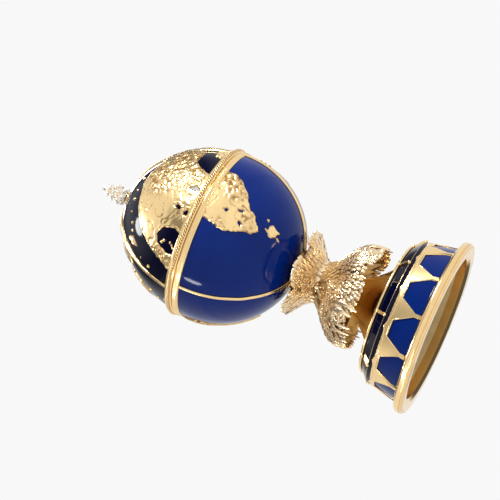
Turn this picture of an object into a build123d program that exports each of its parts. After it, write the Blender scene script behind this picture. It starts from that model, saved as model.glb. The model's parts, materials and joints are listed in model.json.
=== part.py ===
"""A globe-shaped trinket box that stands on three spread-winged supports and a turned foot.

Millimetres, +Z up. The origin is the centre of the foot's underside. The front faces -Y and the
lid's hinge is at the back, on +Y. An azimuth is measured from the front, positive towards -X.
"""

from build123d import *
from math import atan2, cos, degrees, pi, radians, sin, sqrt
import os

os.makedirs("parts", exist_ok=True)

# The globe is an egg of revolution: a half ball below its equator, and an oval of a side arc and
# a cap arc above it.
globe_radius = 27.0
lid_stretch = 5.1
lid_cap_inset = 5.0
enamel_depth = 0.5
shell_wall = 1.2
relief_height = 0.5

# The band round the opening, parted between the lid and the bowl.
parting_lift = 3.6
band_proud = 0.7
lid_rim_height = 2.4
bowl_rim_height = 2.2
rim_width = 3.5
lip_wall = 0.8
lip_height = 1.4
rope_wire = 0.55
rim_round = 0.5

# Meridian wires: three round the lid and three round the bowl, a few degrees out of line.
wire_width = 1.0
wire_height = 0.6
wire_count = 3
lid_wire_azimuth = 67.0
bowl_wire_azimuth = 61.0

# Hinge at the back of the band.
barrel_radius = 1.1
barrel_offset = 0.35
pin_radius = 0.55
knuckle_length = 3.2
hinge_gutter = 0.2

# Closing magnets, one in each rim at the front.
magnet_radius = 0.7
magnet_height = 1.2

# Turned foot, from the floor up.
flange_width = 2.6
flange_height = 3.6
flange_edge_height = 2.7
flange_round = 0.9
flange_groove_radius = 0.28
flange_groove_height = 1.05
drum_foot_radius = 25.4
drum_head_radius = 23.2
drum_height = 10.2
collar_radius = 20.4
shoulder_rise = 3.2
collar_bead = 0.45
stem_seat_radius = 8.6
cavetto_rise = 6.0
cavetto_mid_radius = 12.65
cavetto_mid_rise = 2.2
foot_wall = 1.3
cell_count = 12
fret_depth = 0.45
drum_enamel_depth = 0.45
cell_height = 7.4
cell_head_width = 5.4
cell_foot_width = 12.0
cell_round = 1.1
divider_count = 8
divider_width = 0.9
stud_radius = 0.75

# Column between the foot and the globe, with the screw that draws them together.
stem_height = 24.0
column_radius = 3.9
column_foot_radius = 8.0
column_head_radius = 6.2
waist_lift = 14.0
waist_length = 5.5
screw_radius = 1.5
screw_head_radius = 3.0
screw_head_height = 2.0
washer_radius = 4.5
washer_height = 0.6
boss_radius = 3.4
boss_length = 5.0

# Winged supports, three round the column. The radii are those of the outer face. The wing tips,
# neck and breast are placed down from the globe, and the skirt up from the foot.
support_count = 3
support_azimuth = -12.0
support_gap = 0.1
wing_tip_radius = 13.0
wing_tip_drop = 1.1
neck_radius = 5.4
neck_drop = 8.0
breast_radius = 11.2
breast_drop = 13.8
skirt_radius = 14.6
skirt_lift = 5.2
skirt_tip_radius = 15.6
skirt_tip_lift = 0.5
mantle_wall = 1.9
feather_height = 0.7
body_proud = 1.5
body_width = 6.4
body_length = 18.6
wing_root_drop = 8.4
wing_root_spread = 2.2
feathers_per_fan = 5
wing_feather_length = 10.6
wing_first_angle = 40.0
wing_last_angle = 80.0
skirt_feather_length = 16.2
skirt_longest_share = 0.35
skirt_shortening = 0.6
skirt_first_angle = -20.0
skirt_last_angle = -84.0
feather_width = 3.3
feather_belly = 0.62
ridge_width = 1.8

# Finial on the lid's pole.
finial_height = 10.2
finial_seat_radius = 3.0
crown_leaf_count = 6
crystal_radius = 0.62
crystal_ring_radius = 2.15
crystal_ring_height = 1.5
finial_seat_height = 0.7
finial_seat_bevel = 0.6
crown_foot_radius = 2.1
crown_belly_radius = 2.3
crown_belly_height = 0.9
crown_neck_radius = 1.25
crown_neck_height = 4.0
crown_head_radius = 1.45
crown_head_height = 5.2
low_leaf_radius = 3.2
low_leaf_height = 3.6
high_leaf_radius = 2.2
high_leaf_height = 6.6
leaf_thickness = 0.7
leaf_root_height = 1.8
finial_screw_radius = 0.8
finial_screw_head_radius = 1.9
finial_screw_head_height = 0.8
finial_screw_reach = 2.4

# Clearances.
running_clearance = 0.05
screw_clearance = 0.1
lip_clearance = 0.15
parting_gap = 0.05
seat_gap = 0.1

# Heights, from the floor up, and the widths that follow from them.
foot_radius = drum_foot_radius + flange_width
drum_head_height = flange_height + drum_height
collar_height = drum_head_height + shoulder_rise
stem_seat_height = collar_height + cavetto_rise
skirt_tip_height = stem_seat_height + skirt_tip_lift
skirt_height = stem_seat_height + skirt_lift
waist_low = stem_seat_height + waist_lift
waist_high = waist_low + waist_length
bowl_foot_height = stem_seat_height + stem_height
breast_height = bowl_foot_height - breast_drop
wing_root_height = bowl_foot_height - wing_root_drop
neck_height = bowl_foot_height - neck_drop
wing_tip_height = bowl_foot_height - wing_tip_drop
equator_height = bowl_foot_height + globe_radius
parting_height = equator_height + parting_lift
lid_rim_top = parting_height + lid_rim_height
bowl_rim_foot = parting_height - bowl_rim_height
pole_height = equator_height + globe_radius + lid_stretch
far = 2 * (pole_height + finial_height)

# The side arc's centre lies past the axis by side_shift. Both arcs meet on the line of centres.
lid_cap_radius = globe_radius - lid_cap_inset
cap_lift = lid_stretch + lid_cap_inset
side_shift = (cap_lift**2 - lid_cap_inset**2) / (2 * lid_cap_inset)
side_radius = globe_radius + side_shift
joint_angle = atan2(cap_lift, side_shift)


def egg_radius(height, offset=0.0):
    """Radius of the globe's outer surface at a height, moved outwards by offset."""
    rise = height - equator_height
    if rise < 0:
        return sqrt(max(0.0, (globe_radius + offset) ** 2 - rise**2))
    if rise < cap_lift + (lid_cap_radius + offset) * sin(joint_angle):
        return sqrt((side_radius + offset) ** 2 - rise**2) - side_shift
    return sqrt(max(0.0, (lid_cap_radius + offset) ** 2 - (rise - cap_lift) ** 2))


def toward(azimuth, radius, height=0.0):
    """The point at an azimuth, a distance from the axis and a height."""
    turn = radians(azimuth)
    return Vector(-radius * sin(turn), -radius * cos(turn), height)


def facing(azimuth):
    """The upright plane through the axis whose normal points out at the azimuth."""
    turn = radians(azimuth)
    return Plane((0, 0, 0), x_dir=(cos(turn), -sin(turn), 0), z_dir=(-sin(turn), -cos(turn), 0))


def section(azimuth):
    """The upright plane that holds the axis and the azimuth, with x as radius and y as height."""
    turn = radians(azimuth)
    return Plane((0, 0, 0), x_dir=(-sin(turn), -cos(turn), 0), z_dir=(-cos(turn), sin(turn), 0))


def egg_half(offset):
    """Half of the globe's section as a face in radius and height."""
    ball = globe_radius + offset
    side = side_radius + offset
    cap = lid_cap_radius + offset
    cap_height = equator_height + cap_lift
    mid_side, mid_cap = joint_angle / 2, (joint_angle + pi / 2) / 2
    joint = (cap * cos(joint_angle), cap_height + cap * sin(joint_angle))
    with BuildSketch(Plane.XZ) as half:
        with BuildLine():
            ThreePointArc(
                (0, equator_height - ball),
                (ball * cos(pi / 4), equator_height - ball * sin(pi / 4)),
                (ball, equator_height),
            )
            ThreePointArc(
                (ball, equator_height),
                (side * cos(mid_side) - side_shift, equator_height + side * sin(mid_side)),
                joint,
            )
            ThreePointArc(
                joint,
                (cap * cos(mid_cap), cap_height + cap * sin(mid_cap)),
                (0, cap_height + cap),
            )
            Line((0, cap_height + cap), (0, equator_height - ball))
        make_face()
    return half.sketch_local


def egg_layer(inner, outer, low, high, start_radius=0.0):
    """The face between two offsets of the globe's section, kept within two heights."""
    with BuildSketch(Plane.XZ) as layer:
        add(egg_half(outer))
        add(egg_half(inner), mode=Mode.SUBTRACT)
        with Locations((start_radius, low)):
            Rectangle(far, high - low, align=(Align.MIN, Align.MIN), mode=Mode.INTERSECT)
    return layer.sketch_local


def save(piece, name):
    piece.part.label = name
    export_step(piece.part, f"parts/{name}.step")


# Bowl: a shell with a boss for the screw under it, and a skin of enamel over it.
bowl_pole = bowl_foot_height + enamel_depth
boss_foot = bowl_pole - boss_length
with BuildPart() as bowl_shell:
    with BuildSketch(Plane.XZ):
        add(egg_layer(-enamel_depth - shell_wall, -enamel_depth, 0, bowl_rim_foot))
    revolve(axis=Axis.Z)
    with BuildSketch(Plane.XY.offset(boss_foot)):
        Circle(boss_radius)
    extrude(amount=boss_length + shell_wall / 2)
    with BuildSketch(Plane.XY.offset(boss_foot)):
        Circle(screw_radius + running_clearance)
    extrude(amount=boss_length - shell_wall / 2, mode=Mode.SUBTRACT)
save(bowl_shell, "bowl_shell")

with BuildPart() as bowl_enamel:
    with BuildSketch(Plane.XZ):
        add(egg_layer(-enamel_depth, 0, 0, bowl_rim_foot, column_head_radius + seat_gap))
    revolve(axis=Axis.Z)
save(bowl_enamel, "bowl_enamel")

# Bowl rim: a flat ring with a lip that stands up inside the lid's rim.
rim_outer_radius = egg_radius(parting_height) + band_proud
rim_inner_radius = rim_outer_radius - rim_width
lip_radius = rim_inner_radius + lip_wall
hinge_radius = rim_outer_radius + barrel_offset
hinge_length = 3 * knuckle_length + 2 * running_clearance
# The magnets lie midway between the lip and the rope wire's groove.
magnet_ring_radius = (lip_radius + lip_clearance + rim_outer_radius - rope_wire) / 2


def rim_section(inner, low, high):
    """A rim's section: its outer edges are rounded."""
    with BuildSketch(Plane.XZ) as ring:
        with Locations((inner, low)):
            Rectangle(rim_outer_radius - inner, high - low, align=(Align.MIN, Align.MIN))
        fillet(ring.vertices().group_by(Axis.X)[-1], rim_round)
    return ring.sketch_local


# The groove along the back of the rims that the hinge barrel lies in.
with BuildPart() as hinge_groove:
    with BuildSketch(Plane.YZ.offset(-hinge_length / 2 - running_clearance)):
        with Locations((hinge_radius, parting_height)):
            Circle(barrel_radius + hinge_gutter)
    extrude(amount=hinge_length + 2 * running_clearance)

with BuildPart() as bowl_rim:
    with BuildSketch(Plane.XZ):
        add(rim_section(rim_inner_radius, bowl_rim_foot, parting_height - parting_gap))
    revolve(axis=Axis.Z)
    with BuildSketch(Plane.XY.offset(parting_height - parting_gap)):
        Circle(lip_radius)
        Circle(rim_inner_radius, mode=Mode.SUBTRACT)
    extrude(amount=lip_height)
    chamfer(bowl_rim.faces().sort_by(Axis.Z)[-1].edges(), lip_wall / 4)
    add(hinge_groove.part, mode=Mode.SUBTRACT)
    with BuildSketch(Plane.XY.offset(parting_height - parting_gap)):
        with Locations((0, -magnet_ring_radius)):
            Circle(magnet_radius + running_clearance)
    extrude(amount=-magnet_height, mode=Mode.SUBTRACT)
save(bowl_rim, "bowl_rim")

lid_rim_inner = lip_radius + lip_clearance
with BuildPart() as lid_rim:
    with BuildSketch(Plane.XZ):
        add(rim_section(lid_rim_inner, parting_height, lid_rim_top))
    revolve(axis=Axis.Z)
    # The rope wire lies in a half-round groove just above the parting.
    with BuildSketch(Plane.XZ):
        with Locations((rim_outer_radius, parting_height + rope_wire + rim_round)):
            Circle(rope_wire)
    revolve(axis=Axis.Z, mode=Mode.SUBTRACT)
    add(hinge_groove.part, mode=Mode.SUBTRACT)
    with BuildSketch(Plane.XY.offset(parting_height)):
        with Locations((0, -magnet_ring_radius)):
            Circle(magnet_radius + running_clearance)
    extrude(amount=magnet_height, mode=Mode.SUBTRACT)
save(lid_rim, "lid_rim")

with BuildPart() as rope_ring:
    with BuildSketch(Plane.XZ):
        with Locations((rim_outer_radius, parting_height + rope_wire + rim_round)):
            Circle(rope_wire)
    revolve(axis=Axis.Z)
    # The hinge interrupts the wire.
    with BuildSketch(Plane.XY.offset(parting_height)):
        with Locations((0, rim_outer_radius)):
            Rectangle(hinge_length + 4 * running_clearance, far / 8)
    extrude(amount=lid_rim_height, mode=Mode.SUBTRACT)
save(rope_ring, "rope_ring")

for name, floor, rise in (
    ("bowl_magnet", parting_height - parting_gap, -magnet_height),
    ("lid_magnet", parting_height, magnet_height),
):
    with BuildPart() as magnet:
        with BuildSketch(Plane.XY.offset(floor)):
            with Locations((0, -magnet_ring_radius)):
                Circle(magnet_radius)
        extrude(amount=rise)
    save(magnet, name)

# Lid: a shell, its enamel, and the finial's hole in the pole.
with BuildPart() as lid_shell:
    with BuildSketch(Plane.XZ):
        add(
            egg_layer(
                -enamel_depth - shell_wall,
                -enamel_depth,
                lid_rim_top,
                far,
                finial_screw_radius + running_clearance,
            )
        )
    revolve(axis=Axis.Z)
save(lid_shell, "lid_shell")

with BuildPart() as lid_enamel:
    with BuildSketch(Plane.XZ):
        add(egg_layer(-enamel_depth, 0, lid_rim_top, far, finial_seat_radius + seat_gap))
    revolve(axis=Axis.Z)
save(lid_enamel, "lid_enamel")


def meridian_strips(first_azimuth):
    """Upright slabs, one for each meridian wire, to be cut out of a layer of the globe."""
    with BuildSketch(Plane.XY) as strips:
        turn = -90 - first_azimuth
        with PolarLocations(far / 2, wire_count, start_angle=turn):
            Rectangle(far, wire_width)
    return strips.sketch_local


with BuildPart() as lid_wires:
    with BuildSketch(Plane.XZ):
        add(egg_layer(0, wire_height, lid_rim_top, far, finial_seat_radius + seat_gap))
    revolve(axis=Axis.Z)
    with BuildSketch(Plane.XY):
        add(meridian_strips(lid_wire_azimuth))
    extrude(amount=far, mode=Mode.INTERSECT)
save(lid_wires, "lid_wires")

with BuildPart() as bowl_wires:
    with BuildSketch(Plane.XZ):
        add(egg_layer(0, wire_height, 0, bowl_rim_foot, column_head_radius + seat_gap))
    revolve(axis=Axis.Z)
    with BuildSketch(Plane.XY):
        add(meridian_strips(bowl_wire_azimuth))
    extrude(amount=far, mode=Mode.INTERSECT)
save(bowl_wires, "bowl_wires")

# Continents: coasts as (azimuth, latitude). A latitude inside the band runs off its edge.
lid_coasts = {
    "old_world": [
        (50, 5.5), (50, 19), (44, 29), (36, 37.5), (24, 47), (10, 51), (-4, 53.5),
        (-20, 51), (-36, 49.5), (-52, 50.5), (-70, 51.5), (-88, 48.5), (-104, 42), (-108, 34),
        (-98, 29), (-96, 22), (-88, 18), (-84, 5.5), (-75, 5.5), (-72, 19), (-66, 23),
        (-60, 13.5), (-54, 23.5), (-46, 26), (-41, 19), (-33, 15.5), (-28, 18.5), (-24, 13),
        (-21, 5.5), (24, 5.5), (25, 13), (28, 22), (33, 24.5), (38, 21.5), (41, 12.5), (42, 5.5),
    ],
    "new_world": [
        (92, 30), (99, 42), (118, 51), (140, 50), (158, 42), (162, 33), (151, 28),
        (146, 19), (138, 13.5), (133, 5.5), (127, 5.5), (127, 15), (117, 14.5), (112, 22), (101, 25),
    ],
    "northern_island": [(68, 46), (74, 54.5), (84, 55.5), (88, 48), (79, 38.5)],
    "western_isle": [(49, 44), (53, 47), (57, 41.5), (53, 36.5)],
    "eastern_isle": [(-116, 33), (-119, 26), (-115, 19), (-113, 26)],
}
bowl_coasts = {
    "southern_africa": [
        (6, 7), (12.2, -7.5), (11.5, -14.5), (6.5, -25.5), (6.5, -30), (-1, -31.5), (-6, -28),
        (-10.5, -21), (-18.6, -15.5), (-24.5, -10), (-28, -3.5), (-29, 7),
    ],
    "island": [(-3, -35.5), (-9, -39), (-12, -46), (-3, -52.5), (3, -46)],
    "south_america": [
        (128, 7), (110, 7), (101, -7.5), (107, -17), (117, -31), (123, -48), (128, -48),
        (128, -26.5), (136, -10.5),
    ],
    "australia": [
        (-92, -9.5), (-84, -15), (-84, -25), (-94, -29), (-106, -27.5), (-113, -18.5), (-104, -9.5),
    ],
}


def map_height(latitude):
    """Height of a latitude, from -90 at the bowl's pole to 90 at the lid's."""
    half_height = globe_radius + (lid_stretch if latitude > 0 else 0)
    return equator_height + half_height * sin(radians(latitude))


def coast_faces(coasts, rim_low, rim_high):
    """The continents as flat faces seen along the globe's axis."""
    with BuildSketch(Plane.XY) as map_faces:
        for coast in coasts.values():
            corners = []
            for azimuth, latitude in coast:
                height = map_height(latitude)
                off_edge = rim_low < height < rim_high
                corners.append(toward(azimuth, far / 3 if off_edge else egg_radius(height)))
            with BuildLine():
                Polyline(corners, close=True)
            make_face()
    return map_faces.sketch_local


with BuildPart() as lid_land:
    with BuildSketch(Plane.XZ):
        add(egg_layer(0, relief_height, lid_rim_top, far))
    revolve(axis=Axis.Z)
    with BuildSketch(Plane.XY):
        add(coast_faces(lid_coasts, 0, lid_rim_top))
        add(meridian_strips(lid_wire_azimuth), mode=Mode.SUBTRACT)
    extrude(amount=far, mode=Mode.INTERSECT)
save(lid_land, "lid_land")

with BuildPart() as bowl_land:
    with BuildSketch(Plane.XZ):
        add(egg_layer(0, relief_height, 0, bowl_rim_foot))
    revolve(axis=Axis.Z)
    with BuildSketch(Plane.XY):
        add(coast_faces(bowl_coasts, bowl_rim_foot, far))
        add(meridian_strips(bowl_wire_azimuth), mode=Mode.SUBTRACT)
    extrude(amount=far, mode=Mode.INTERSECT)
save(bowl_land, "bowl_land")


def knuckle_section(side):
    """A hinge knuckle's end view: a barrel and the leaf that holds it in the rim's gutter."""
    with BuildSketch(Plane.YZ) as knuckle:
        with Locations((hinge_radius, parting_height)):
            Circle(barrel_radius + hinge_gutter)
        leaf_corner = (hinge_radius - barrel_offset, parting_height + side * 2 * running_clearance)
        leaf_align = (Align.MAX, Align.MIN if side > 0 else Align.MAX)
        with Locations(leaf_corner):
            Rectangle(far, far, align=leaf_align, mode=Mode.INTERSECT)
        with Locations((hinge_radius, parting_height)):
            Circle(barrel_radius)
            Circle(pin_radius + running_clearance / 2, mode=Mode.SUBTRACT)
    return knuckle.sketch_local


with BuildPart() as bowl_knuckles:
    for start in (-hinge_length / 2, hinge_length / 2 - knuckle_length):
        with BuildSketch(Plane.YZ.offset(start)):
            add(knuckle_section(-1))
        extrude(amount=knuckle_length)
save(bowl_knuckles, "bowl_knuckles")

with BuildPart() as lid_knuckle:
    with BuildSketch(Plane.YZ.offset(-knuckle_length / 2)):
        add(knuckle_section(1))
    extrude(amount=knuckle_length)
save(lid_knuckle, "lid_knuckle")

with BuildPart() as hinge_pin:
    with BuildSketch(Plane.YZ.offset(-hinge_length / 2)):
        with Locations((hinge_radius, parting_height)):
            Circle(pin_radius)
    extrude(amount=hinge_length)
    fillet(hinge_pin.edges().filter_by(GeomType.CIRCLE), pin_radius / 4)
save(hinge_pin, "hinge_pin")

# Foot: the broad flange, hollow under the drum.
flange_inner_radius = drum_foot_radius - fret_depth - drum_enamel_depth - foot_wall
with BuildPart() as base_flange:
    with BuildSketch(Plane.XZ) as flange_section:
        with BuildLine():
            Polyline(
                (flange_inner_radius, 0),
                (foot_radius, 0),
                (foot_radius, flange_edge_height),
                (drum_foot_radius, flange_height),
                (flange_inner_radius, flange_height),
                close=True,
            )
        make_face()
        fillet(flange_section.vertices().group_by(Axis.X)[-1], flange_round)
        chamfer(flange_section.vertices().sort_by(Axis.X)[:2].sort_by(Axis.Y)[0], flange_round)
    revolve(axis=Axis.Z)
    # A shadow line parts the milled edge from the ring that the box stands on.
    with BuildSketch(Plane.XZ):
        with Locations((foot_radius, flange_groove_height)):
            Circle(flange_groove_radius)
    revolve(axis=Axis.Z, mode=Mode.SUBTRACT)
save(base_flange, "base_flange")


def drum_ring(outer_depth, inner_depth):
    """A conical ring of the drum's wall, between two depths below its outer face."""
    with BuildSketch(Plane.XZ) as ring:
        with BuildLine():
            Polyline(
                (drum_foot_radius - inner_depth, flange_height),
                (drum_foot_radius - outer_depth, flange_height),
                (drum_head_radius - outer_depth, drum_head_height),
                (drum_head_radius - inner_depth, drum_head_height),
                close=True,
            )
        make_face()
    return ring.sketch_local


drum_depth = fret_depth + drum_enamel_depth
collar_foot = collar_height - enamel_depth
with BuildPart() as base_drum:
    with BuildSketch(Plane.XZ):
        add(drum_ring(drum_depth, drum_depth + foot_wall))
        # The sloped shoulder closes the drum's head as far as the collar.
        with BuildLine():
            Polyline(
                (drum_head_radius - drum_depth - foot_wall, drum_head_height - foot_wall),
                (drum_head_radius - drum_depth, drum_head_height - foot_wall / 2),
                (drum_head_radius - drum_depth, drum_head_height),
                (collar_radius - drum_depth, collar_foot),
                (collar_radius - foot_wall * 2, collar_foot),
                (collar_radius - foot_wall * 2, collar_foot - foot_wall),
                close=True,
            )
        make_face()
    revolve(axis=Axis.Z)
save(base_drum, "base_drum")

with BuildPart() as drum_enamel:
    with BuildSketch(Plane.XZ):
        add(drum_ring(fret_depth, drum_depth))
    revolve(axis=Axis.Z)
save(drum_enamel, "drum_enamel")

# Fretwork: the drum's gold outer ring, open in arched cells that stand on the flange.
with BuildPart() as drum_fretwork:
    with BuildSketch(Plane.XZ):
        add(drum_ring(0, fret_depth))
    revolve(axis=Axis.Z)
    for cell in range(cell_count):
        with BuildSketch(facing(cell * 360 / cell_count)) as opening:
            with BuildLine():
                Polyline(
                    (-cell_foot_width / 2, flange_height),
                    (-cell_foot_width / 2, flange_height + cell_height / 4),
                    (-cell_head_width / 2, flange_height + cell_height),
                    (cell_head_width / 2, flange_height + cell_height),
                    (cell_foot_width / 2, flange_height + cell_height / 4),
                    (cell_foot_width / 2, flange_height),
                    close=True,
                )
            make_face()
            fillet(opening.vertices().group_by(Axis.Y)[1:], cell_round)
        extrude(amount=foot_radius, mode=Mode.SUBTRACT)
save(drum_fretwork, "drum_fretwork")

# Shoulder: enamel on the slope, with gold bars and round studs across it.
with BuildPart() as shoulder_enamel:
    with BuildSketch(Plane.XZ):
        with BuildLine():
            Polyline(
                (drum_head_radius - drum_depth, drum_head_height),
                (drum_head_radius, drum_head_height),
                (collar_radius, collar_foot),
                (collar_radius - drum_depth, collar_foot),
                close=True,
            )
        make_face()
    revolve(axis=Axis.Z)
save(shoulder_enamel, "shoulder_enamel")

with BuildPart() as shoulder_bars:
    for bar in range(divider_count):
        azimuth = (bar + 0.5) * 360 / divider_count
        with BuildSketch(section(azimuth)):
            with BuildLine():
                Polyline(
                    (drum_head_radius, drum_head_height),
                    (drum_head_radius + stud_radius, drum_head_height + stud_radius / 2),
                    (collar_radius + stud_radius, collar_foot),
                    (collar_radius, collar_foot),
                    close=True,
                )
            make_face()
        extrude(amount=divider_width / 2, both=True)
    # Each bar's ends trim to the enamel's cone, so that it lies flat on it.
    with BuildSketch(Plane.XZ):
        with BuildLine():
            Polyline(
                (0, drum_head_height),
                (drum_head_radius, drum_head_height),
                (collar_radius, collar_foot),
                (0, collar_foot),
                close=True,
            )
        make_face()
    revolve(axis=Axis.Z, mode=Mode.SUBTRACT)
save(shoulder_bars, "shoulder_bars")

# Base top: a hollow cavetto from the beaded collar up to the seat of the column.
cavetto_start = (collar_radius, collar_height)
cavetto_end = (stem_seat_radius, stem_seat_height)
cavetto_mid = (cavetto_mid_radius, collar_height + cavetto_mid_rise)
with BuildPart() as base_top:
    with BuildSketch(Plane.XZ):
        with BuildLine():
            ThreePointArc(cavetto_start, cavetto_mid, cavetto_end)
            Line(cavetto_end, (0, stem_seat_height))
            Line((0, stem_seat_height), (0, stem_seat_height - foot_wall))
            Line((0, stem_seat_height - foot_wall), (stem_seat_radius, stem_seat_height - foot_wall))
            ThreePointArc(
                (stem_seat_radius, stem_seat_height - foot_wall),
                (cavetto_mid[0], cavetto_mid[1] - foot_wall),
                (collar_radius - foot_wall * 2, collar_foot),
            )
            Line((collar_radius - foot_wall * 2, collar_foot), (collar_radius, collar_foot))
            Line((collar_radius, collar_foot), cavetto_start)
        make_face()
        with Locations((collar_radius, collar_foot + collar_bead)):
            Circle(collar_bead)
    revolve(axis=Axis.Z)
    with BuildSketch(Plane.XY):
        Circle(screw_radius + screw_clearance)
    extrude(amount=far, mode=Mode.SUBTRACT)
save(base_top, "base_top")

# Screw and washer under the base top draw the column and the bowl down on to the foot.
washer_top = stem_seat_height - foot_wall
with BuildPart() as base_washer:
    with BuildSketch(Plane.XY.offset(washer_top)):
        Circle(washer_radius)
        Circle(screw_radius + screw_clearance, mode=Mode.SUBTRACT)
    extrude(amount=-washer_height)
save(base_washer, "base_washer")

screw_top = bowl_pole - shell_wall
with BuildPart() as assembly_screw:
    with BuildSketch(Plane.XY.offset(washer_top - washer_height)):
        Circle(screw_head_radius)
    extrude(amount=-screw_head_height)
    fillet(assembly_screw.faces().sort_by(Axis.Z)[0].edges(), screw_head_height / 4)
    with BuildSketch(Plane.XY.offset(washer_top - washer_height - screw_head_height)):
        RegularPolygon(screw_head_radius / 2, 6)
    extrude(amount=screw_head_height / 2, mode=Mode.SUBTRACT)
    with BuildSketch(Plane.XY.offset(washer_top - washer_height)):
        Circle(screw_radius)
    extrude(amount=screw_top - (washer_top - washer_height))
save(assembly_screw, "assembly_screw")

# Column: flared below on to the foot and above into a cup under the globe.
with BuildPart() as column:
    with BuildSketch(Plane.XZ) as column_section:
        with BuildLine():
            Line((0, stem_seat_height), (column_foot_radius, stem_seat_height))
            Spline(
                (column_foot_radius, stem_seat_height),
                (column_radius, waist_low),
                tangents=((-0.6, 1), (0, 1)),
            )
            Line((column_radius, waist_low), (column_radius, waist_high))
            Spline(
                (column_radius, waist_high),
                (column_head_radius, bowl_pole),
                tangents=((0, 1), (0.6, 1)),
            )
            Line((column_head_radius, bowl_pole), (column_head_radius, parting_height))
            Line((column_head_radius, parting_height), (0, parting_height))
            Line((0, parting_height), (0, stem_seat_height))
        make_face()
        add(egg_half(-enamel_depth), mode=Mode.SUBTRACT)
    revolve(axis=Axis.Z)
    with BuildSketch(Plane.XY.offset(stem_seat_height)):
        Circle(screw_radius + screw_clearance)
    extrude(amount=far, mode=Mode.SUBTRACT)
    with BuildSketch(Plane.XY.offset(boss_foot - seat_gap)):
        Circle(boss_radius + running_clearance)
    extrude(amount=far, mode=Mode.SUBTRACT)
save(column, "column")

# Winged supports. One curved wall hugs the column at its waist and flares to the globe and foot.
mantle_outer = (
    (wing_tip_radius, wing_tip_height),
    (neck_radius, neck_height),
    (breast_radius, breast_height),
    (skirt_radius, skirt_height),
    (skirt_tip_radius, skirt_tip_height),
)


def mantle_wall_section(proud):
    """The mantle's wall from the column out to its outer face, moved out by proud."""
    with BuildSketch(Plane.XZ) as wall:
        with BuildLine():
            outer = Spline([(radius + proud, height) for radius, height in mantle_outer])
            top_inner = (wing_tip_radius - mantle_wall, wing_tip_height)
            foot_inner = (skirt_tip_radius - mantle_wall, skirt_tip_height)
            Line(outer @ 0, top_inner)
            Spline(top_inner, (column_radius, waist_high), tangents=((-1, -0.6), (0, -1)))
            Line((column_radius, waist_high), (column_radius, waist_low))
            Spline((column_radius, waist_low), foot_inner, tangents=((0, -1), (0.1, -1)))
            Line(foot_inner, outer @ 1)
        make_face()
    return wall.sketch_local


def feather(root, angle, length, width):
    """A leaf-shaped feather that points from its root at an angle, as a flat face."""
    turn = radians(angle)
    along = Vector(cos(turn), sin(turn))
    across = Vector(-sin(turn), cos(turn))
    base, tip = Vector(*root), Vector(*root) + along * length
    belly = base + along * length * feather_belly
    with BuildSketch() as leaf:
        with BuildLine():
            ThreePointArc(base, belly + across * width / 2, tip)
            ThreePointArc(tip, belly - across * width / 2, base)
        make_face()
    return leaf.sketch_local


# Each fan is (side, root, angle, length) for its feathers, longest at the outer edge of the wing.
fans = []
for step in range(feathers_per_fan):
    share = step / (feathers_per_fan - 1)
    for side in (1, -1):
        wing_angle = wing_first_angle + share * (wing_last_angle - wing_first_angle)
        wing_length = wing_feather_length * (1 - share / 3)
        skirt_angle = skirt_first_angle + share * (skirt_last_angle - skirt_first_angle)
        skirt_drawn_in = skirt_shortening * abs(share - skirt_longest_share)
        skirt_length = skirt_feather_length * (1 - skirt_drawn_in)
        for height, angle, length in (
            (wing_root_height, wing_angle, wing_length),
            (wing_root_height - wing_root_spread, skirt_angle, skirt_length),
        ):
            fans.append(
                ((side * wing_root_spread, height), angle if side > 0 else 180 - angle, length)
            )

wedge_half = radians(180 / support_count)
for index in range(support_count):
    azimuth = support_azimuth + index * 360 / support_count
    front = facing(azimuth)
    with BuildPart() as feather_ridges:
        with BuildSketch(Plane.XZ):
            add(mantle_wall_section(feather_height))
        revolve(axis=Axis.Z)
        with BuildSketch(front):
            for root, angle, length in fans:
                add(feather(root, angle, length, ridge_width))
        extrude(amount=foot_radius, mode=Mode.INTERSECT)
    with BuildPart() as body_ridge:
        with BuildSketch(Plane.XZ):
            add(mantle_wall_section(body_proud))
        revolve(axis=Axis.Z)
        with BuildSketch(front):
            add(feather((0, wing_tip_height), -90, body_length, body_width))
        extrude(amount=foot_radius, mode=Mode.INTERSECT)
    with BuildPart() as winged_support:
        with BuildSketch(Plane.XZ):
            add(mantle_wall_section(0))
        revolve(axis=Axis.Z)
        with BuildSketch(front):
            for root, angle, length in fans:
                add(feather(root, angle, length, feather_width))
            with Locations((0, wing_root_height - wing_root_spread / 2)):
                Rectangle(4 * wing_root_spread, 3 * wing_root_spread)
        extrude(amount=foot_radius, mode=Mode.INTERSECT)
        add(feather_ridges.part)
        add(body_ridge.part)
        # Each support keeps to its own third of the column.
        with BuildSketch(Plane.XY):
            with BuildLine():
                Polyline(
                    toward(azimuth, support_gap),
                    toward(azimuth, support_gap) + toward(azimuth + degrees(wedge_half), far),
                    toward(azimuth, support_gap) + toward(azimuth - degrees(wedge_half), far),
                    close=True,
                )
            make_face()
        extrude(amount=far, mode=Mode.INTERSECT)
    save(winged_support, f"winged_support_{index + 1}")

# Finial: a seat on the pole, a leafy crown with set stones, and the screw that holds them.
finial_seat_top = pole_height + finial_seat_height
with BuildPart() as finial_seat:
    with BuildSketch(Plane.XZ):
        with BuildLine():
            Polyline(
                (0, equator_height),
                (finial_seat_radius, equator_height),
                (finial_seat_radius, finial_seat_top - finial_seat_bevel),
                (finial_seat_radius - finial_seat_bevel, finial_seat_top),
                (0, finial_seat_top),
                close=True,
            )
        make_face()
        add(egg_half(-enamel_depth), mode=Mode.SUBTRACT)
    revolve(axis=Axis.Z)
    with BuildSketch(Plane.XY):
        Circle(finial_screw_radius + running_clearance)
    extrude(amount=far * 2, mode=Mode.SUBTRACT)
save(finial_seat, "finial_seat")

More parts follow.
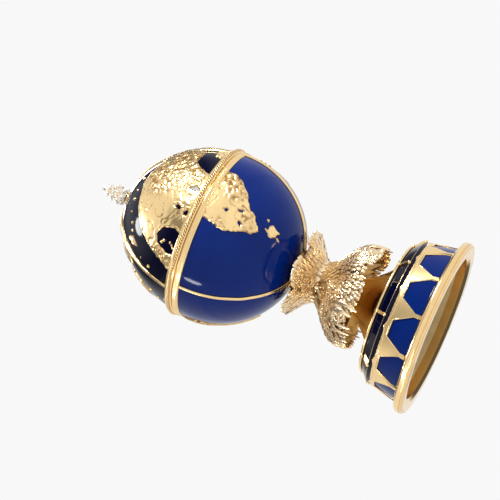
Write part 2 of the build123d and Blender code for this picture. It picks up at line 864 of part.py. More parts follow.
with BuildPart() as finial_crystals:
    with Locations(Plane.XY.offset(finial_seat_top + crystal_ring_height)):
        with PolarLocations(crystal_ring_radius, crown_leaf_count):
            Sphere(crystal_radius)
    with Locations((0, 0, pole_height + finial_height - crystal_radius)):
        Sphere(crystal_radius)
save(finial_crystals, "finial_crystals")

crown_base = finial_seat_top
crown_tip = pole_height + finial_height
crown_core = (
    (0, crown_base),
    (crown_foot_radius, crown_base),
    (crown_belly_radius, crown_base + crown_belly_height),
    (crown_neck_radius, crown_base + crown_neck_height),
    (crown_head_radius, crown_base + crown_head_height),
    (crystal_radius, crown_tip - crystal_radius),
    (0, crown_tip - crystal_radius),
)
# Leaves as (root height, tip radius, tip height, turn) in two rings.
crown_rings = (
    (crown_base + crown_belly_height / 2, low_leaf_radius, crown_base + low_leaf_height, 0),
    (
        crown_base + crown_neck_height,
        high_leaf_radius,
        crown_base + high_leaf_height,
        180 / crown_leaf_count,
    ),
)
leaf_root_radius = crown_neck_radius - leaf_thickness / 4
with BuildPart() as finial_crown:
    with BuildSketch(Plane.XZ):
        with BuildLine():
            Polyline(crown_core, close=True)
        make_face()
    revolve(axis=Axis.Z)
    for root_height, tip_radius, tip_height, turn in crown_rings:
        for leaf in range(crown_leaf_count):
            with BuildSketch(section(turn + leaf * 360 / crown_leaf_count)):
                with BuildLine():
                    Polyline(
                        (leaf_root_radius, root_height),
                        (tip_radius, (root_height + tip_height) / 2),
                        (tip_radius, tip_height),
                        (leaf_root_radius, root_height + leaf_root_height),
                        close=True,
                    )
                make_face()
            extrude(amount=leaf_thickness / 2, both=True)
    add(finial_crystals.part, mode=Mode.SUBTRACT)
    with BuildSketch(Plane.XY.offset(crown_base)):
        Circle(finial_screw_radius + running_clearance)
    extrude(amount=finial_screw_reach, mode=Mode.SUBTRACT)
save(finial_crown, "finial_crown")

ceiling_height = pole_height - enamel_depth - shell_wall
with BuildPart() as finial_screw:
    with BuildSketch(Plane.XY.offset(ceiling_height - seat_gap)):
        Circle(finial_screw_head_radius)
    extrude(amount=-finial_screw_head_height)
    fillet(finial_screw.faces().sort_by(Axis.Z)[0].edges(), finial_screw_head_height / 3)
    with BuildSketch(Plane.XY.offset(ceiling_height - seat_gap)):
        Circle(finial_screw_radius)
    extrude(amount=finial_seat_top + finial_screw_reach - ceiling_height)
save(finial_screw, "finial_screw")
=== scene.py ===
"""A globe trinket box in gilt metal and blue enamel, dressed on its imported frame.

Metres, +Z up, front towards -Y. An azimuth is measured from the front, positive towards -X, and a
height from the floor. Sizes in the panel are in metres too.
"""

import contextlib
import json
import math
import random

import bpy
import numpy as np
from mathutils import Matrix, Vector, noise


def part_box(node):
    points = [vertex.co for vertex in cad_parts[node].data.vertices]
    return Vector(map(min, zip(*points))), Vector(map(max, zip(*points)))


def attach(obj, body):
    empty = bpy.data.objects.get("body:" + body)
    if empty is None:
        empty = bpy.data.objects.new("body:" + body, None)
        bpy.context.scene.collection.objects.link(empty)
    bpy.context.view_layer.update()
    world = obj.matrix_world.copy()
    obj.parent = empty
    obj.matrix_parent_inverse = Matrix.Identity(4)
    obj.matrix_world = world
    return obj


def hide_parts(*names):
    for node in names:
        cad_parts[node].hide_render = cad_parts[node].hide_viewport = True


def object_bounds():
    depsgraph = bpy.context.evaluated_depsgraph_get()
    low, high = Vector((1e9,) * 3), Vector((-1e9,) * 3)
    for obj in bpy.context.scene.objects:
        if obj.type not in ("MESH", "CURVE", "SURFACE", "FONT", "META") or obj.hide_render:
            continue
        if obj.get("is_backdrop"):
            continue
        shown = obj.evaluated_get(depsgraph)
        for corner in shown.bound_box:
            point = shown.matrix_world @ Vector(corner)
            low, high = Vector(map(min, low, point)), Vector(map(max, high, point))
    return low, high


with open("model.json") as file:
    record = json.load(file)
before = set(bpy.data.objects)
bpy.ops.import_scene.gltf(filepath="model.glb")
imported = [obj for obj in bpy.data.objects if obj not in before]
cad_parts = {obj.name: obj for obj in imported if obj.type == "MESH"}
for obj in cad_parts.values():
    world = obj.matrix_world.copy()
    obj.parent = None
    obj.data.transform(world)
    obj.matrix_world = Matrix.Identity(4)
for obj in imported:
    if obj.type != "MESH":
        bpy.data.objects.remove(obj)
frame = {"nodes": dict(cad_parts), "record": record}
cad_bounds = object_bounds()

bl_info = {
    "name": "Globe Trinket Box",
    "version": (1, 0, 0),
    "blender": (4, 5, 0),
    "location": "View3D > Sidebar > Trinket Box",
    "description": "Models the relief, plumage, finial and finishes of a globe trinket box",
    "category": "Object",
}

MM = 0.001
TURN = math.tau
ORIGIN = Vector((0.0, 0.0, 0.0))
WHITE = (1.0, 1.0, 1.0)
MERGE = 0.002 * MM  # points closer than this become one
SUPPORTS = 3  # winged supports round the stem
CELLS = 12  # enamelled cells round the drum
BARS = 8  # bars of the drum's shoulder, with a bead at each end
LEAVES = 6  # leaves, and stones, in one ring of the finial


def frame_radius(node):
    """Half the width of a round node, in metres."""
    low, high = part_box(node)
    return (high.x - low.x) / 2


def frame_top(node):
    """Height of a node's highest point."""
    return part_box(node)[1].z


def frame_foot(node):
    """Height of a node's lowest point."""
    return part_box(node)[0].z


def metres(name, description, default, least=0.0):
    """A size in the panel, in metres."""
    return bpy.props.FloatProperty(
        name=name, description=description, subtype="DISTANCE", default=default, min=least
    )


def tally(name, description, default):
    """A number of turns or ridges in the panel."""
    return bpy.props.IntProperty(name=name, description=description, default=default, min=8)


def tone(name, description, default):
    """A colour in the panel."""
    return bpy.props.FloatVectorProperty(
        name=name, description=description, subtype="COLOR", default=default, min=0.0, max=1.0
    )


class GlobeSizes(bpy.types.PropertyGroup):
    """Sizes of the globe, its band and its map."""

    radius: metres("Globe Radius", "Radius at the equator", frame_radius("bowl_enamel"), MM)
    bowl_foot: metres("Bowl Foot", "Height of the globe's lowest point", 47.0 * MM)
    stretch: metres("Lid Stretch", "How much taller the upper half is than a half ball", 5.1 * MM)
    cap_inset: metres(
        "Cap Inset", "How much smaller the cap's radius is than the globe's", 5.0 * MM, 0.1 * MM
    )
    relief: metres("Relief", "Height of the land over the enamel", 0.4 * MM)
    mountain: metres("Mountains", "Height of the mountains over the land", 0.42 * MM)
    map_step: metres("Map Step", "Spacing of the map's points", 0.27 * MM, 0.1 * MM)
    rope_twists: tally("Rope Twists", "Turns of the twisted wire round the band", 184)
    mill_ridges: tally("Band Ridges", "Slanted ridges cut round the bowl's rim", 260)


class StemSizes(bpy.types.PropertyGroup):
    """Sizes of the feathered supports."""

    wing_tip_radius: metres("Wing Tip Radius", "Reach of the wing tips from the axis", 13.0 * MM, MM)
    neck_radius: metres("Neck Radius", "Radius at the neck", 5.4 * MM, MM)
    breast_radius: metres("Breast Radius", "Radius at the breast", 11.2 * MM, MM)
    skirt_radius: metres("Skirt Radius", "Radius where the tail spreads", 14.6 * MM, MM)
    skirt_tip_radius: metres("Skirt Tip Radius", "Reach of the tail tips", 15.6 * MM, MM)
    azimuth: bpy.props.FloatProperty(
        name="Azimuth", description="Where the first support faces, from the front",
        subtype="ANGLE", default=math.radians(-12.0),
    )
    wing_root_drop: metres("Wing Root Drop", "Drop from the wing tips to the wings' roots", 7.3 * MM)
    wing_length: metres("Wing Length", "Reach of a wing from its root", 10.6 * MM, MM)
    tail_length: metres("Tail Length", "Reach of the tail from its root", 16.2 * MM, MM)
    fan_spread: metres("Fan Spread", "Distance of the fans' roots from the middle", 2.2 * MM)
    feather_length: metres("Feather Length", "Length of one small feather", 2.0 * MM, 0.5 * MM)
    feather_width: metres("Feather Width", "Width of one small feather", 1.2 * MM, 0.2 * MM)


class Finishes(bpy.types.PropertyGroup):
    """Colours of the metal, the enamels and the floor."""

    gold: tone("Gold", "Colour of the polished plating", (1.0, 0.73, 0.36))
    # The gold's shade colour: painted shade in the relief's recesses, and the brown of the cast gold's
    # random patches.
    gold_shade_and_brown: tone("Gold Shade and Brown", "Painted shade in recesses, and brown patches", (0.22, 0.085, 0.016))
    cobalt: tone("Cobalt Enamel", "Enamel of the bowl and the drum", (0.0002, 0.022, 0.185))
    navy: tone("Navy Enamel", "Enamel of the lid and the shoulder", (0.0012, 0.002, 0.022))
    floor: tone("Floor", "Colour of the floor", (0.80, 0.79, 0.77))


class Wire:
    """An output socket in a node tree, with arithmetic that adds Math nodes."""

    def __init__(self, graph, socket):
        self.graph = graph
        self.socket = socket

    def other(self, output):
        """Another output of the same node."""
        return Wire(self.graph, self.socket.node.outputs[output])

    def _math(self, operation, other):
        return self.graph.node("ShaderNodeMath", {"operation": operation}, {0: self, 1: other})

    def __add__(self, other):
        return self._math("ADD", other)

    __radd__ = __add__

    def __mul__(self, other):
        return self._math("MULTIPLY", other)

    __rmul__ = __mul__


class Graph:
    """A node tree under construction."""

    def __init__(self, tree):
        self.tree = tree

    def node(self, kind, settings=None, inputs=None, output=0):
        """Adds a node, sets it, feeds its sockets, and returns one of its outputs.

        The setting "stops" fills a colour ramp with (position, grey level) pairs.
        """
        made = self.tree.nodes.new(kind)
        for key, value in (settings or {}).items():
            if key == "stops":
                stops = made.color_ramp.elements
                while len(stops) < len(value):
                    stops.new(1.0)
                for stop, (position, level) in zip(stops, value):
                    stop.position = position
                    stop.color = (level, level, level, 1.0)
            else:
                setattr(made, key, value)
        for key, value in (inputs or {}).items():
            if isinstance(value, Wire):
                self.tree.links.new(value.socket, made.inputs[key])
            else:
                made.inputs[key].default_value = value
        return Wire(self, made.outputs[output])

    def show(self, wire):
        """Gives a shader to the tree's output node."""
        kinds = ("OUTPUT_MATERIAL", "OUTPUT_WORLD")
        output = next(node for node in self.tree.nodes if node.type in kinds)
        self.tree.links.new(wire.socket, output.inputs["Surface"])

    def seers(self):
        """More than 0 for the rays that see: straight ones, mirrored ones and those through glass."""
        path = self.node("ShaderNodeLightPath")
        return path + path.other("Is Glossy Ray") + path.other("Is Transmission Ray")


class Paint(Graph):
    """A material under construction round one Principled shader."""

    def __init__(self, name, roughness, metallic=0.0, **uniform):
        self.material = bpy.data.materials.new(name)
        self.material.use_nodes = True
        super().__init__(self.material.node_tree)
        self.shader = next(n for n in self.tree.nodes if n.type == "BSDF_PRINCIPLED")
        uniform.update(Roughness=roughness, Metallic=metallic)
        for socket, value in uniform.items():
            self.shader.inputs[socket.replace("_", " ")].default_value = value

    def feed(self, socket, wire):
        """Gives a varying value to the shader."""
        self.tree.links.new(wire.socket, self.shader.inputs[socket])

    def grain(self, scale, detail):
        """Noise over the piece, from 0 to 1."""
        place = self.node("ShaderNodeTexCoord", output="Object")
        inputs = {"Vector": place, "Scale": scale, "Detail": detail, "Roughness": 0.55}
        return self.node("ShaderNodeTexNoise", None, inputs, "Fac")

    def blend(self, factor, first, second):
        """A colour between two others."""
        settings = {"data_type": "RGBA", "clamp_factor": True}
        inputs = {0: factor, 6: (*first, 1.0), 7: (*second, 1.0)}
        return self.node("ShaderNodeMix", settings, inputs, 2)

    def bump(self, height, distance, strength):
        """Fine unevenness of the surface. It ends a paint, so it returns the material."""
        inputs = {"Height": height, "Distance": distance, "Strength": strength}
        self.feed("Normal", self.node("ShaderNodeBump", None, inputs, "Normal"))
        return self.material


def between(first, second, share):
    """A colour from first to second by share."""
    return tuple(a + (b - a) * share for a, b in zip(first, second))


def gold_paint(name, roughness, tint=1.0, shade=0.0, casting=0.012):
    """Gilt metal: a little uneven in gloss, browner in patches by shade, with a cast skin."""
    finish = bpy.context.scene.box_finishes
    paint = Paint(name, roughness, metallic=1.0)
    cloud = paint.grain(260.0, 4.0)
    fine = paint.grain(2600.0, 2.0)
    gold = tuple(channel * tint for channel in finish.gold)
    warm = between(gold, finish.gold_shade_and_brown, 0.35)
    paint.feed("Base Color", paint.blend(cloud * (0.5 + shade), gold, warm))
    paint.feed("Roughness", roughness * 0.8 + cloud * roughness * 0.4 + fine * 0.03)
    return paint.bump(cloud + fine * 0.3, casting * MM, 0.35)


def relief_gold_paint(name, roughness, pale=0.0):
    """Gilt relief, whitened by pale: the piece's own attribute paints shade into its recesses."""
    finish = bpy.context.scene.box_finishes
    gold = between(finish.gold, WHITE, pale)
    shadow = between(finish.gold_shade_and_brown, gold, pale)
    paint = Paint(name, roughness, metallic=1.0)
    # painted shade: the piece's attribute darkens the gold towards its shade colour
    depth = paint.node("ShaderNodeAttribute", {"attribute_name": "recess"}, output="Fac")
    fine = paint.grain(1900.0, 4.0)
    paint.feed("Base Color", paint.blend(depth, gold, shadow))
    paint.feed("Roughness", roughness + depth * 0.25 + fine * 0.08)
    return paint.bump(fine, 0.02 * MM, 0.3)


def enamel_paint(name, colour, depth):
    """Glossy enamel with faint clouds of a deeper colour under a level surface."""
    paint = Paint(name, 0.07, IOR=1.5, Specular_IOR_Level=0.14)
    cloud = paint.grain(70.0, 2.0)
    speck = paint.grain(900.0, 2.0)
    paint.feed("Base Color", paint.blend(cloud * 0.8 + speck * 0.2, colour, depth))
    paint.feed("Roughness", 0.06 + speck * 0.04)
    return paint.bump(cloud, 0.01 * MM, 0.15)


def bare_metal_paint(name, roughness, colour):
    """Bare metal, a little uneven in colour and gloss."""
    paint = Paint(name, roughness, metallic=1.0)
    fine = paint.grain(1500.0, 3.0)
    darker = tuple(channel * 0.7 for channel in colour)
    paint.feed("Base Color", paint.blend(fine, colour, darker))
    paint.feed("Roughness", roughness + fine * 0.1)
    return paint.bump(fine, 0.01 * MM, 0.3)


def crystal_paint(name):
    """Milky cut stone."""
    paint = Paint(name, 0.02, IOR=2.2, Transmission_Weight=0.2)
    fine = paint.grain(800.0, 1.0)
    paint.feed("Base Color", paint.blend(fine, WHITE, (0.85, 0.92, 1.0)))
    return paint.material


paints = {}


def mix_paints():
    """Makes every finish once."""
    finish = bpy.context.scene.box_finishes
    cobalt, navy = tuple(finish.cobalt), tuple(finish.navy)
    for name, recipe, values in (
        ("gold_polished", gold_paint, {"roughness": 0.16}),
        ("gold_relief", relief_gold_paint, {"roughness": 0.17}),
        ("gold_plumage", relief_gold_paint, {"roughness": 0.13, "pale": 0.24}),
        ("gold_crown", relief_gold_paint, {"roughness": 0.14, "pale": 0.5}),
        ("stippled_gold", gold_paint, {"roughness": 0.26, "shade": 0.1, "casting": 0.06}),
        # painted shade: the supports' cores under the feathers are darkened so that the gaps read as
        # shaded pits
        ("cast_ground", gold_paint, {"roughness": 0.38, "tint": 0.62, "shade": 0.5}),
        ("inner_gold", gold_paint, {"roughness": 0.34, "tint": 0.86, "shade": 0.4}),
        ("enamel_cobalt", enamel_paint, {"colour": cobalt, "depth": (0.0002, 0.010, 0.13)}),
        ("enamel_navy", enamel_paint, {"colour": navy, "depth": (0.001, 0.001, 0.008)}),
        ("crystal", crystal_paint, {}),
        ("steel", bare_metal_paint, {"roughness": 0.3, "colour": (0.56, 0.56, 0.58)}),
        ("magnet", bare_metal_paint, {"roughness": 0.2, "colour": (0.5, 0.5, 0.52)}),
    ):
        paints[name] = recipe(name, **values)


def dress(piece, paint):
    """Gives a piece one paint."""
    piece.data.materials.clear()
    piece.data.materials.append(paints[paint])


def select_nothing():
    """Goes to object mode with nothing selected."""
    if bpy.context.object and bpy.context.object.mode != "OBJECT":
        bpy.ops.object.mode_set(mode="OBJECT")
    bpy.ops.object.select_all(action="DESELECT")


def take(piece):
    """Makes piece the only selected and the active object."""
    select_nothing()
    piece.select_set(True)
    bpy.context.view_layer.objects.active = piece


@contextlib.contextmanager
def edit_mode(piece, select="SELECT"):
    """Edit mode on a piece, with all of its points selected, or none of them."""
    take(piece)
    bpy.ops.object.mode_set(mode="EDIT")
    bpy.ops.mesh.select_all(action=select)
    yield
    bpy.ops.object.mode_set(mode="OBJECT")


def link(name, content):
    """A new object of the scene round a mesh, a light or a camera's lens."""
    piece = bpy.data.objects.new(name, content)
    bpy.context.scene.collection.objects.link(piece)
    return piece


def settle(piece, name, sharp_angle=35.0):
    """Names a new piece, brings its place into its mesh and shades it."""
    take(piece)
    bpy.ops.object.transform_apply(location=True, rotation=True, scale=True)
    bpy.ops.object.shade_smooth_by_angle(angle=math.radians(sharp_angle))
    piece.name = name
    piece.data.name = name
    return piece


def hand_over(piece, body, slot, *nodes, paint=None):
    """Paints a finished piece, fixes it to its body and lets it stand for its nodes."""
    dress(piece, paint or slot)
    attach(piece, body)
    if nodes:
        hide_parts(*nodes)


def toward(azimuth, radius, height=0.0):
    """The point at an azimuth in radians, a distance from the axis and a height."""
    return Vector((-radius * math.sin(azimuth), -radius * math.cos(azimuth), height))


class Egg:
    """The globe's outer surface: a half ball below, a side arc and a cap arc above."""

    def __init__(self):
        sizes = bpy.context.scene.box_globe
        self.radius = sizes.radius
        self.cap = sizes.radius - sizes.cap_inset
        self.lift = sizes.stretch + sizes.cap_inset
        self.shift = (self.lift**2 - sizes.cap_inset**2) / (2 * sizes.cap_inset)
        self.side = sizes.radius + self.shift
        self.joint = math.atan2(self.lift, self.shift)
        self.equator = sizes.bowl_foot + sizes.radius
        self.side_run = self.side * self.joint

    def point(self, run, proud=0.0):
        """Radius, height and outward slope at a distance run up the side from the equator."""
        if run < 0:
            angle = run / self.radius
            reach = self.radius + proud
            centre = (0.0, self.equator)
        elif run < self.side_run:
            angle = run / self.side
            reach = self.side + proud
            centre = (-self.shift, self.equator)
        else:
            angle = self.joint + (run - self.side_run) / self.cap
            reach = self.cap + proud
            centre = (0.0, self.equator + self.lift)
        return centre[0] + reach * math.cos(angle), centre[1] + reach * math.sin(angle), angle

    def run(self, height):
        """The distance up the side at a height, in metres."""
        rise = height - self.equator
        if rise < 0:
            return self.radius * math.asin(max(-1.0, rise / self.radius))
        if rise < self.side * math.sin(self.joint):
            return self.side * math.asin(rise / self.side)
        over = min(1.0, (rise - self.lift) / self.cap)
        return self.side_run + self.cap * (math.asin(over) - self.joint)


MAP_TOP, MAP_FOOT = 101.5 * MM, 51.5 * MM
# The map, as outlines of (azimuth in degrees, height in millimetres).
LID_LAND = {
    "old_world": [
        (52, 76), (52, 81), (49, 84), (44, 89), (36, 93.3), (30, 95.2), (22, 97.3), (12, 98.3),
        (4, 98.8), (-8, 99.8), (-20, 99.2), (-30, 98.2), (-36, 97.6), (-44, 98.8), (-52, 98.8),
        (-70, 99.2), (-88, 98), (-104, 95.5), (-108, 92), (-98, 89.5), (-96, 86), (-88, 83.8), (-84, 80),
        (-82, 76), (-76, 76), (-75, 80), (-72, 84.5), (-66, 86.5), (-60, 81.6), (-54, 86.8),
        (-48, 88.4), (-45, 85.8), (-37, 86.6), (-30, 86.2), (-25, 84), (-21, 80.6), (-19, 76),
    ],
    "new_world": [
        (92, 90), (99, 95.5), (118, 99), (140, 98.5), (158, 95.5), (162, 91.5), (151, 89),
        (146, 84.5), (138, 81.5), (134, 76), (126, 76), (127, 82.2), (117, 82), (112, 86),
        (101, 87.5),
    ],
    "northern_island": [(68, 97), (74, 100.2), (84, 100.4), (88, 97.8), (79, 94)],
    "western_isle": [(49, 95.8), (53, 97.2), (57, 95), (53, 93)],
    "eastern_isle": [(-116, 91.5), (-119, 88), (-115, 84.5), (-113, 88)],
    "southern_cape": [(-42, 82.4), (-48, 83.2), (-53, 81), (-50, 76), (-40, 76), (-39, 80)],
}
LID_WATER = {
    "inland_sea": [
        (26, 79.8), (23.5, 82.6), (26, 86), (32.5, 87.6), (38.5, 86.2), (42, 82), (41, 78.6),
        (33, 79.4),
    ],
    "star_lake": [
        (-4.6, 81.6), (-5.8, 83), (-7, 82), (-8.6, 81.6), (-6.8, 80.8), (-6, 79.8), (-5.4, 81),
    ],
    "long_lake": [(9, 82.8), (7.6, 84.2), (9, 85.4), (10.8, 84.6), (10.6, 83)],
    "twin_lake": [(11, 79.6), (9.8, 80.8), (11.4, 81.8), (13.6, 81.2), (13.4, 80)],
}
BOWL_LAND = {
    "southern_africa": [
        (8, 79), (11, 72.6), (12.4, 70.2), (12.2, 67.4), (9.8, 64.6), (7, 62.4), (6.8, 60.6),
        (3, 59.4), (-1.2, 59.6), (-4, 60.8), (-6.6, 61.6), (-8.6, 63.8), (-12, 64.8), (-16, 66),
        (-18.8, 66.9), (-22, 68.8), (-24.8, 69.4), (-27.6, 72), (-29, 79),
    ],
    "island": [
        (-3.2, 58.2), (-4.2, 56.9), (-7.4, 57), (-10.6, 56.3), (-8.4, 55.2), (-8.2, 53.9), (-4.6, 54.4),
        (-1.2, 52.9), (-1, 54.6), (1.6, 55.8), (-1.4, 56.6),
    ],
    "south_america": [
        (128, 79), (110, 79), (101, 70.5), (107, 66), (117, 60), (123, 54), (128, 54), (128, 62),
        (136, 69),
    ],
    "australia": [
        (-92, 69.5), (-84, 67), (-84, 62.5), (-94, 61), (-106, 61.5), (-113, 65.5), (-104, 69.5),
        (-99, 68),
    ],
}
BOWL_WATER = {
    "great_lake": [(-0.4, 70.8), (-1.8, 70), (-0.6, 69.1), (0.9, 69.8)],
    "deep_lake": [(-3, 66.4), (-4.2, 65.2), (-5.8, 65.6), (-4.8, 67)],
    "reed_lake": [(5.4, 64.3), (3.6, 64.1), (2.2, 65.3), (4, 65.2)],
}
# Islets, as (azimuth, height, radius in millimetres). Six of the lid's curl in the inland sea.
LID_ISLETS = [
    (38.8, 97.8, 0.5), (45, 96.8, 0.3), (30, 99.6, 0.4), (16, 100.6, 0.45), (3, 101.1, 0.35),
    (-16, 101.2, 0.4), (60, 91, 0.4), (61, 87.4, 0.5), (58, 84.4, 0.3), (66, 93.4, 0.35),
    (36.8, 84.9, 0.26), (34.9, 84.3, 0.28), (33.6, 83.3, 0.3), (33.9, 82.1, 0.3), (35.4, 81.3, 0.3),
    (36.9, 80.7, 0.26), (-98, 99.4, 0.4), (-116, 96, 0.35), (-122, 82, 0.45), (-128, 86, 0.35),
    (86, 86, 0.4), (90, 83.4, 0.3), (84, 80.4, 0.45), (170, 97, 0.4), (172, 86, 0.35),
]
BOWL_ISLETS = [
    (-10.6, 58, 0.3), (-66, 71, 0.4), (-70, 68.4, 0.45), (-76, 70.6, 0.3), (-118, 59, 0.45),
    (150, 62, 0.4), (164, 70, 0.35),
]
# Highlands, as (azimuth, height, radius of effect in millimetres, share of the mountains' height).
LID_HIGHLANDS = [
    (2.7, 94.6, 3.0, 0.35), (-10, 93, 5.0, 1.0), (-21.6, 95, 6.0, 1.0), (-30.7, 92, 6.0, 1.0),
    (-34.4, 88, 4.0, 0.9), (-24, 86, 5.0, 1.0), (-14, 84, 5.0, 0.9), (-9.6, 79.2, 3.0, 0.8),
    (16, 79, 2.0, 0.7), (4.8, 79.4, 2.0, 0.6), (44, 85, 3.0, 0.7), (-60, 92, 9.0, 0.9),
    (-85, 92, 8.0, 0.9), (130, 92, 9.0, 0.8), (110, 93, 6.0, 0.8),
]
BOWL_HIGHLANDS = [
    (-24, 72.4, 3.5, 1.0), (-15, 69.5, 3.0, 0.9), (9, 70, 1.6, 0.6), (4, 61.6, 2.0, 0.6),
    (-20, 68.5, 2.5, 1.0), (112, 72, 6.0, 0.9), (-100, 65, 5.0, 0.8), (-4, 62, 2.0, 0.6),
]


def grid_piece(name, columns, rows, place, closed=True):
    """A grid whose points are moved by place(across, up), each from 0 to 1, its seams merged."""
    select_nothing()
    bpy.ops.mesh.primitive_grid_add(x_subdivisions=columns, y_subdivisions=rows, size=2.0)
    piece = bpy.context.object
    for vertex in piece.data.vertices:
        vertex.co = place((vertex.co.x + 1) / 2, (vertex.co.y + 1) / 2)
    with edit_mode(piece):
        bpy.ops.mesh.remove_doubles(threshold=MERGE)
        if closed:
            bpy.ops.mesh.normals_make_consistent(inside=False)
    piece.name = name
    return piece


def join(pieces, name):
    """Joins pieces into one under a name."""
    take(pieces[0])
    for piece in pieces:
        piece.select_set(True)
    bpy.ops.object.join()
    pieces[0].name = name
    return pieces[0]


def copy_turned(piece, count, first=0.0):
    """Copies of a piece round the axis, each with its own mesh. The piece itself is the first."""
    copies = [piece]
    for index in range(1, count):
        copy = link(piece.name, piece.data.copy())
        copy.data.transform(Matrix.Rotation(first + index * TURN / count, 4, "Z"))
        copies.append(copy)
    piece.data.transform(Matrix.Rotation(first, 4, "Z"))
    return copies


def solid_wall(piece, thickness):
    """Gives a sheet a thickness, inwards."""
    take(piece)
    modifier = piece.modifiers.new("Wall", "SOLIDIFY")
    modifier.thickness = thickness
    modifier.offset = -1.0
    bpy.ops.object.modifier_apply(modifier=modifier.name)


def close_ends(piece):
    """Fills the open ends of a tube."""
    with edit_mode(piece, select="DESELECT"):
        bpy.ops.mesh.select_non_manifold()
        bpy.ops.mesh.edge_face_add()
        bpy.ops.mesh.select_all(action="SELECT")
        bpy.ops.mesh.normals_make_consistent(inside=False)


def store_painted_shade(piece, values):
    """Stores the painted shade of each point, from 0 to 1, where the relief's paint reads it."""
    piece.data.attributes.new("recess", "FLOAT", "POINT").data.foreach_set("value", values)


def ramp(value, start, end):
    """A smooth rise from 0 at start to 1 at end."""
    share = min(1.0, max(0.0, (value - start) / (end - start)))
    return share * share * (3 - 2 * share)


def shore_distance(egg, outlines, azimuths, runs, radii):
    """Distance of map points inside the outlines' shores, negative outside, in metres."""
    inside = np.zeros(len(azimuths), bool)
    nearest = np.ones(len(azimuths))
    for outline in outlines.values():
        corners = [(math.radians(azimuth), egg.run(height * MM)) for azimuth, height in outline]
        for (start_a, start_v), (end_a, end_v) in zip(corners, corners[1:] + corners[:1]):
            ax, ay = (start_a - azimuths) * radii, start_v - runs
            bx, by = (end_a - azimuths) * radii, end_v - runs
            dx, dy = bx - ax, by - ay
            share = np.clip(-(ax * dx + ay * dy) / np.maximum(dx * dx + dy * dy, 1e-14), 0, 1)
            nearest = np.minimum(nearest, np.hypot(ax + share * dx, ay + share * dy))
            spans = (start_v > runs) != (end_v > runs)
            if start_v != end_v:
                crossing = start_a + (runs - start_v) * (end_a - start_a) / (end_v - start_v)
                inside ^= spans & (azimuths < crossing)
    return np.where(inside, nearest, -nearest)


def ruggedness(spot, peaks):
    """How mountainous a place is, from 0 to 1, by the highlands near it."""
    full, faded = 0.6, 1.6
    rough = 0.0
    for peak, reach, share in peaks:
        away = (spot - peak).length / reach
        if away < faded:
            rough = max(rough, share * (1 - ramp(away, full, faded)))
    return rough


def land_surface(sizes, spot, inland, rough, clear):
    """Height over the enamel and painted shade of a place inland from its shore.

    Mountains are crumpled. Lowlands have a soft ripple and engraved streams, and the shore a
    raised lip. Mountains and lip are scaled by clear.
    """
    edge, crumple_size, ripple_size, stream_size = 0.4 * MM, 1.9 * MM, 1.6 * MM, 3.4 * MM
    crumple = 1 - abs(noise.fractal(spot / crumple_size + Vector((7, 3, 1)), 0.9, 2.0, 3)) * 1.9
    crumple = max(0.0, min(1.0, crumple))
    ripple = noise.noise(spot / ripple_size)
    stream = abs(noise.noise(spot / stream_size + Vector((2, 9, 4))))
    cut = (1 - ramp(stream, 0.012, 0.045)) * (1 - rough) * ramp(inland, 0.5 * MM, 0.9 * MM)
    lip = ramp(inland, 0.0, 0.25 * MM) * (1 - ramp(inland, 0.3 * MM, 0.75 * MM))
    shore = 0.5 * (1 - ramp(inland, 0, edge))
    rise = sizes.relief * ramp(inland, -0.1 * MM, edge)
    rise += sizes.mountain * rough * crumple * ramp(inland, 0.2 * MM, 1.0 * MM) * clear
    rise += (ripple * 0.05 + lip * 0.14 * clear - cut * 0.12) * MM
    # painted shade in the mountains' hollows, in the engraved streams and at the shore
    return rise, min(1.0, rough * (1 - crumple) * 0.9 + shore + 0.8 * cut)


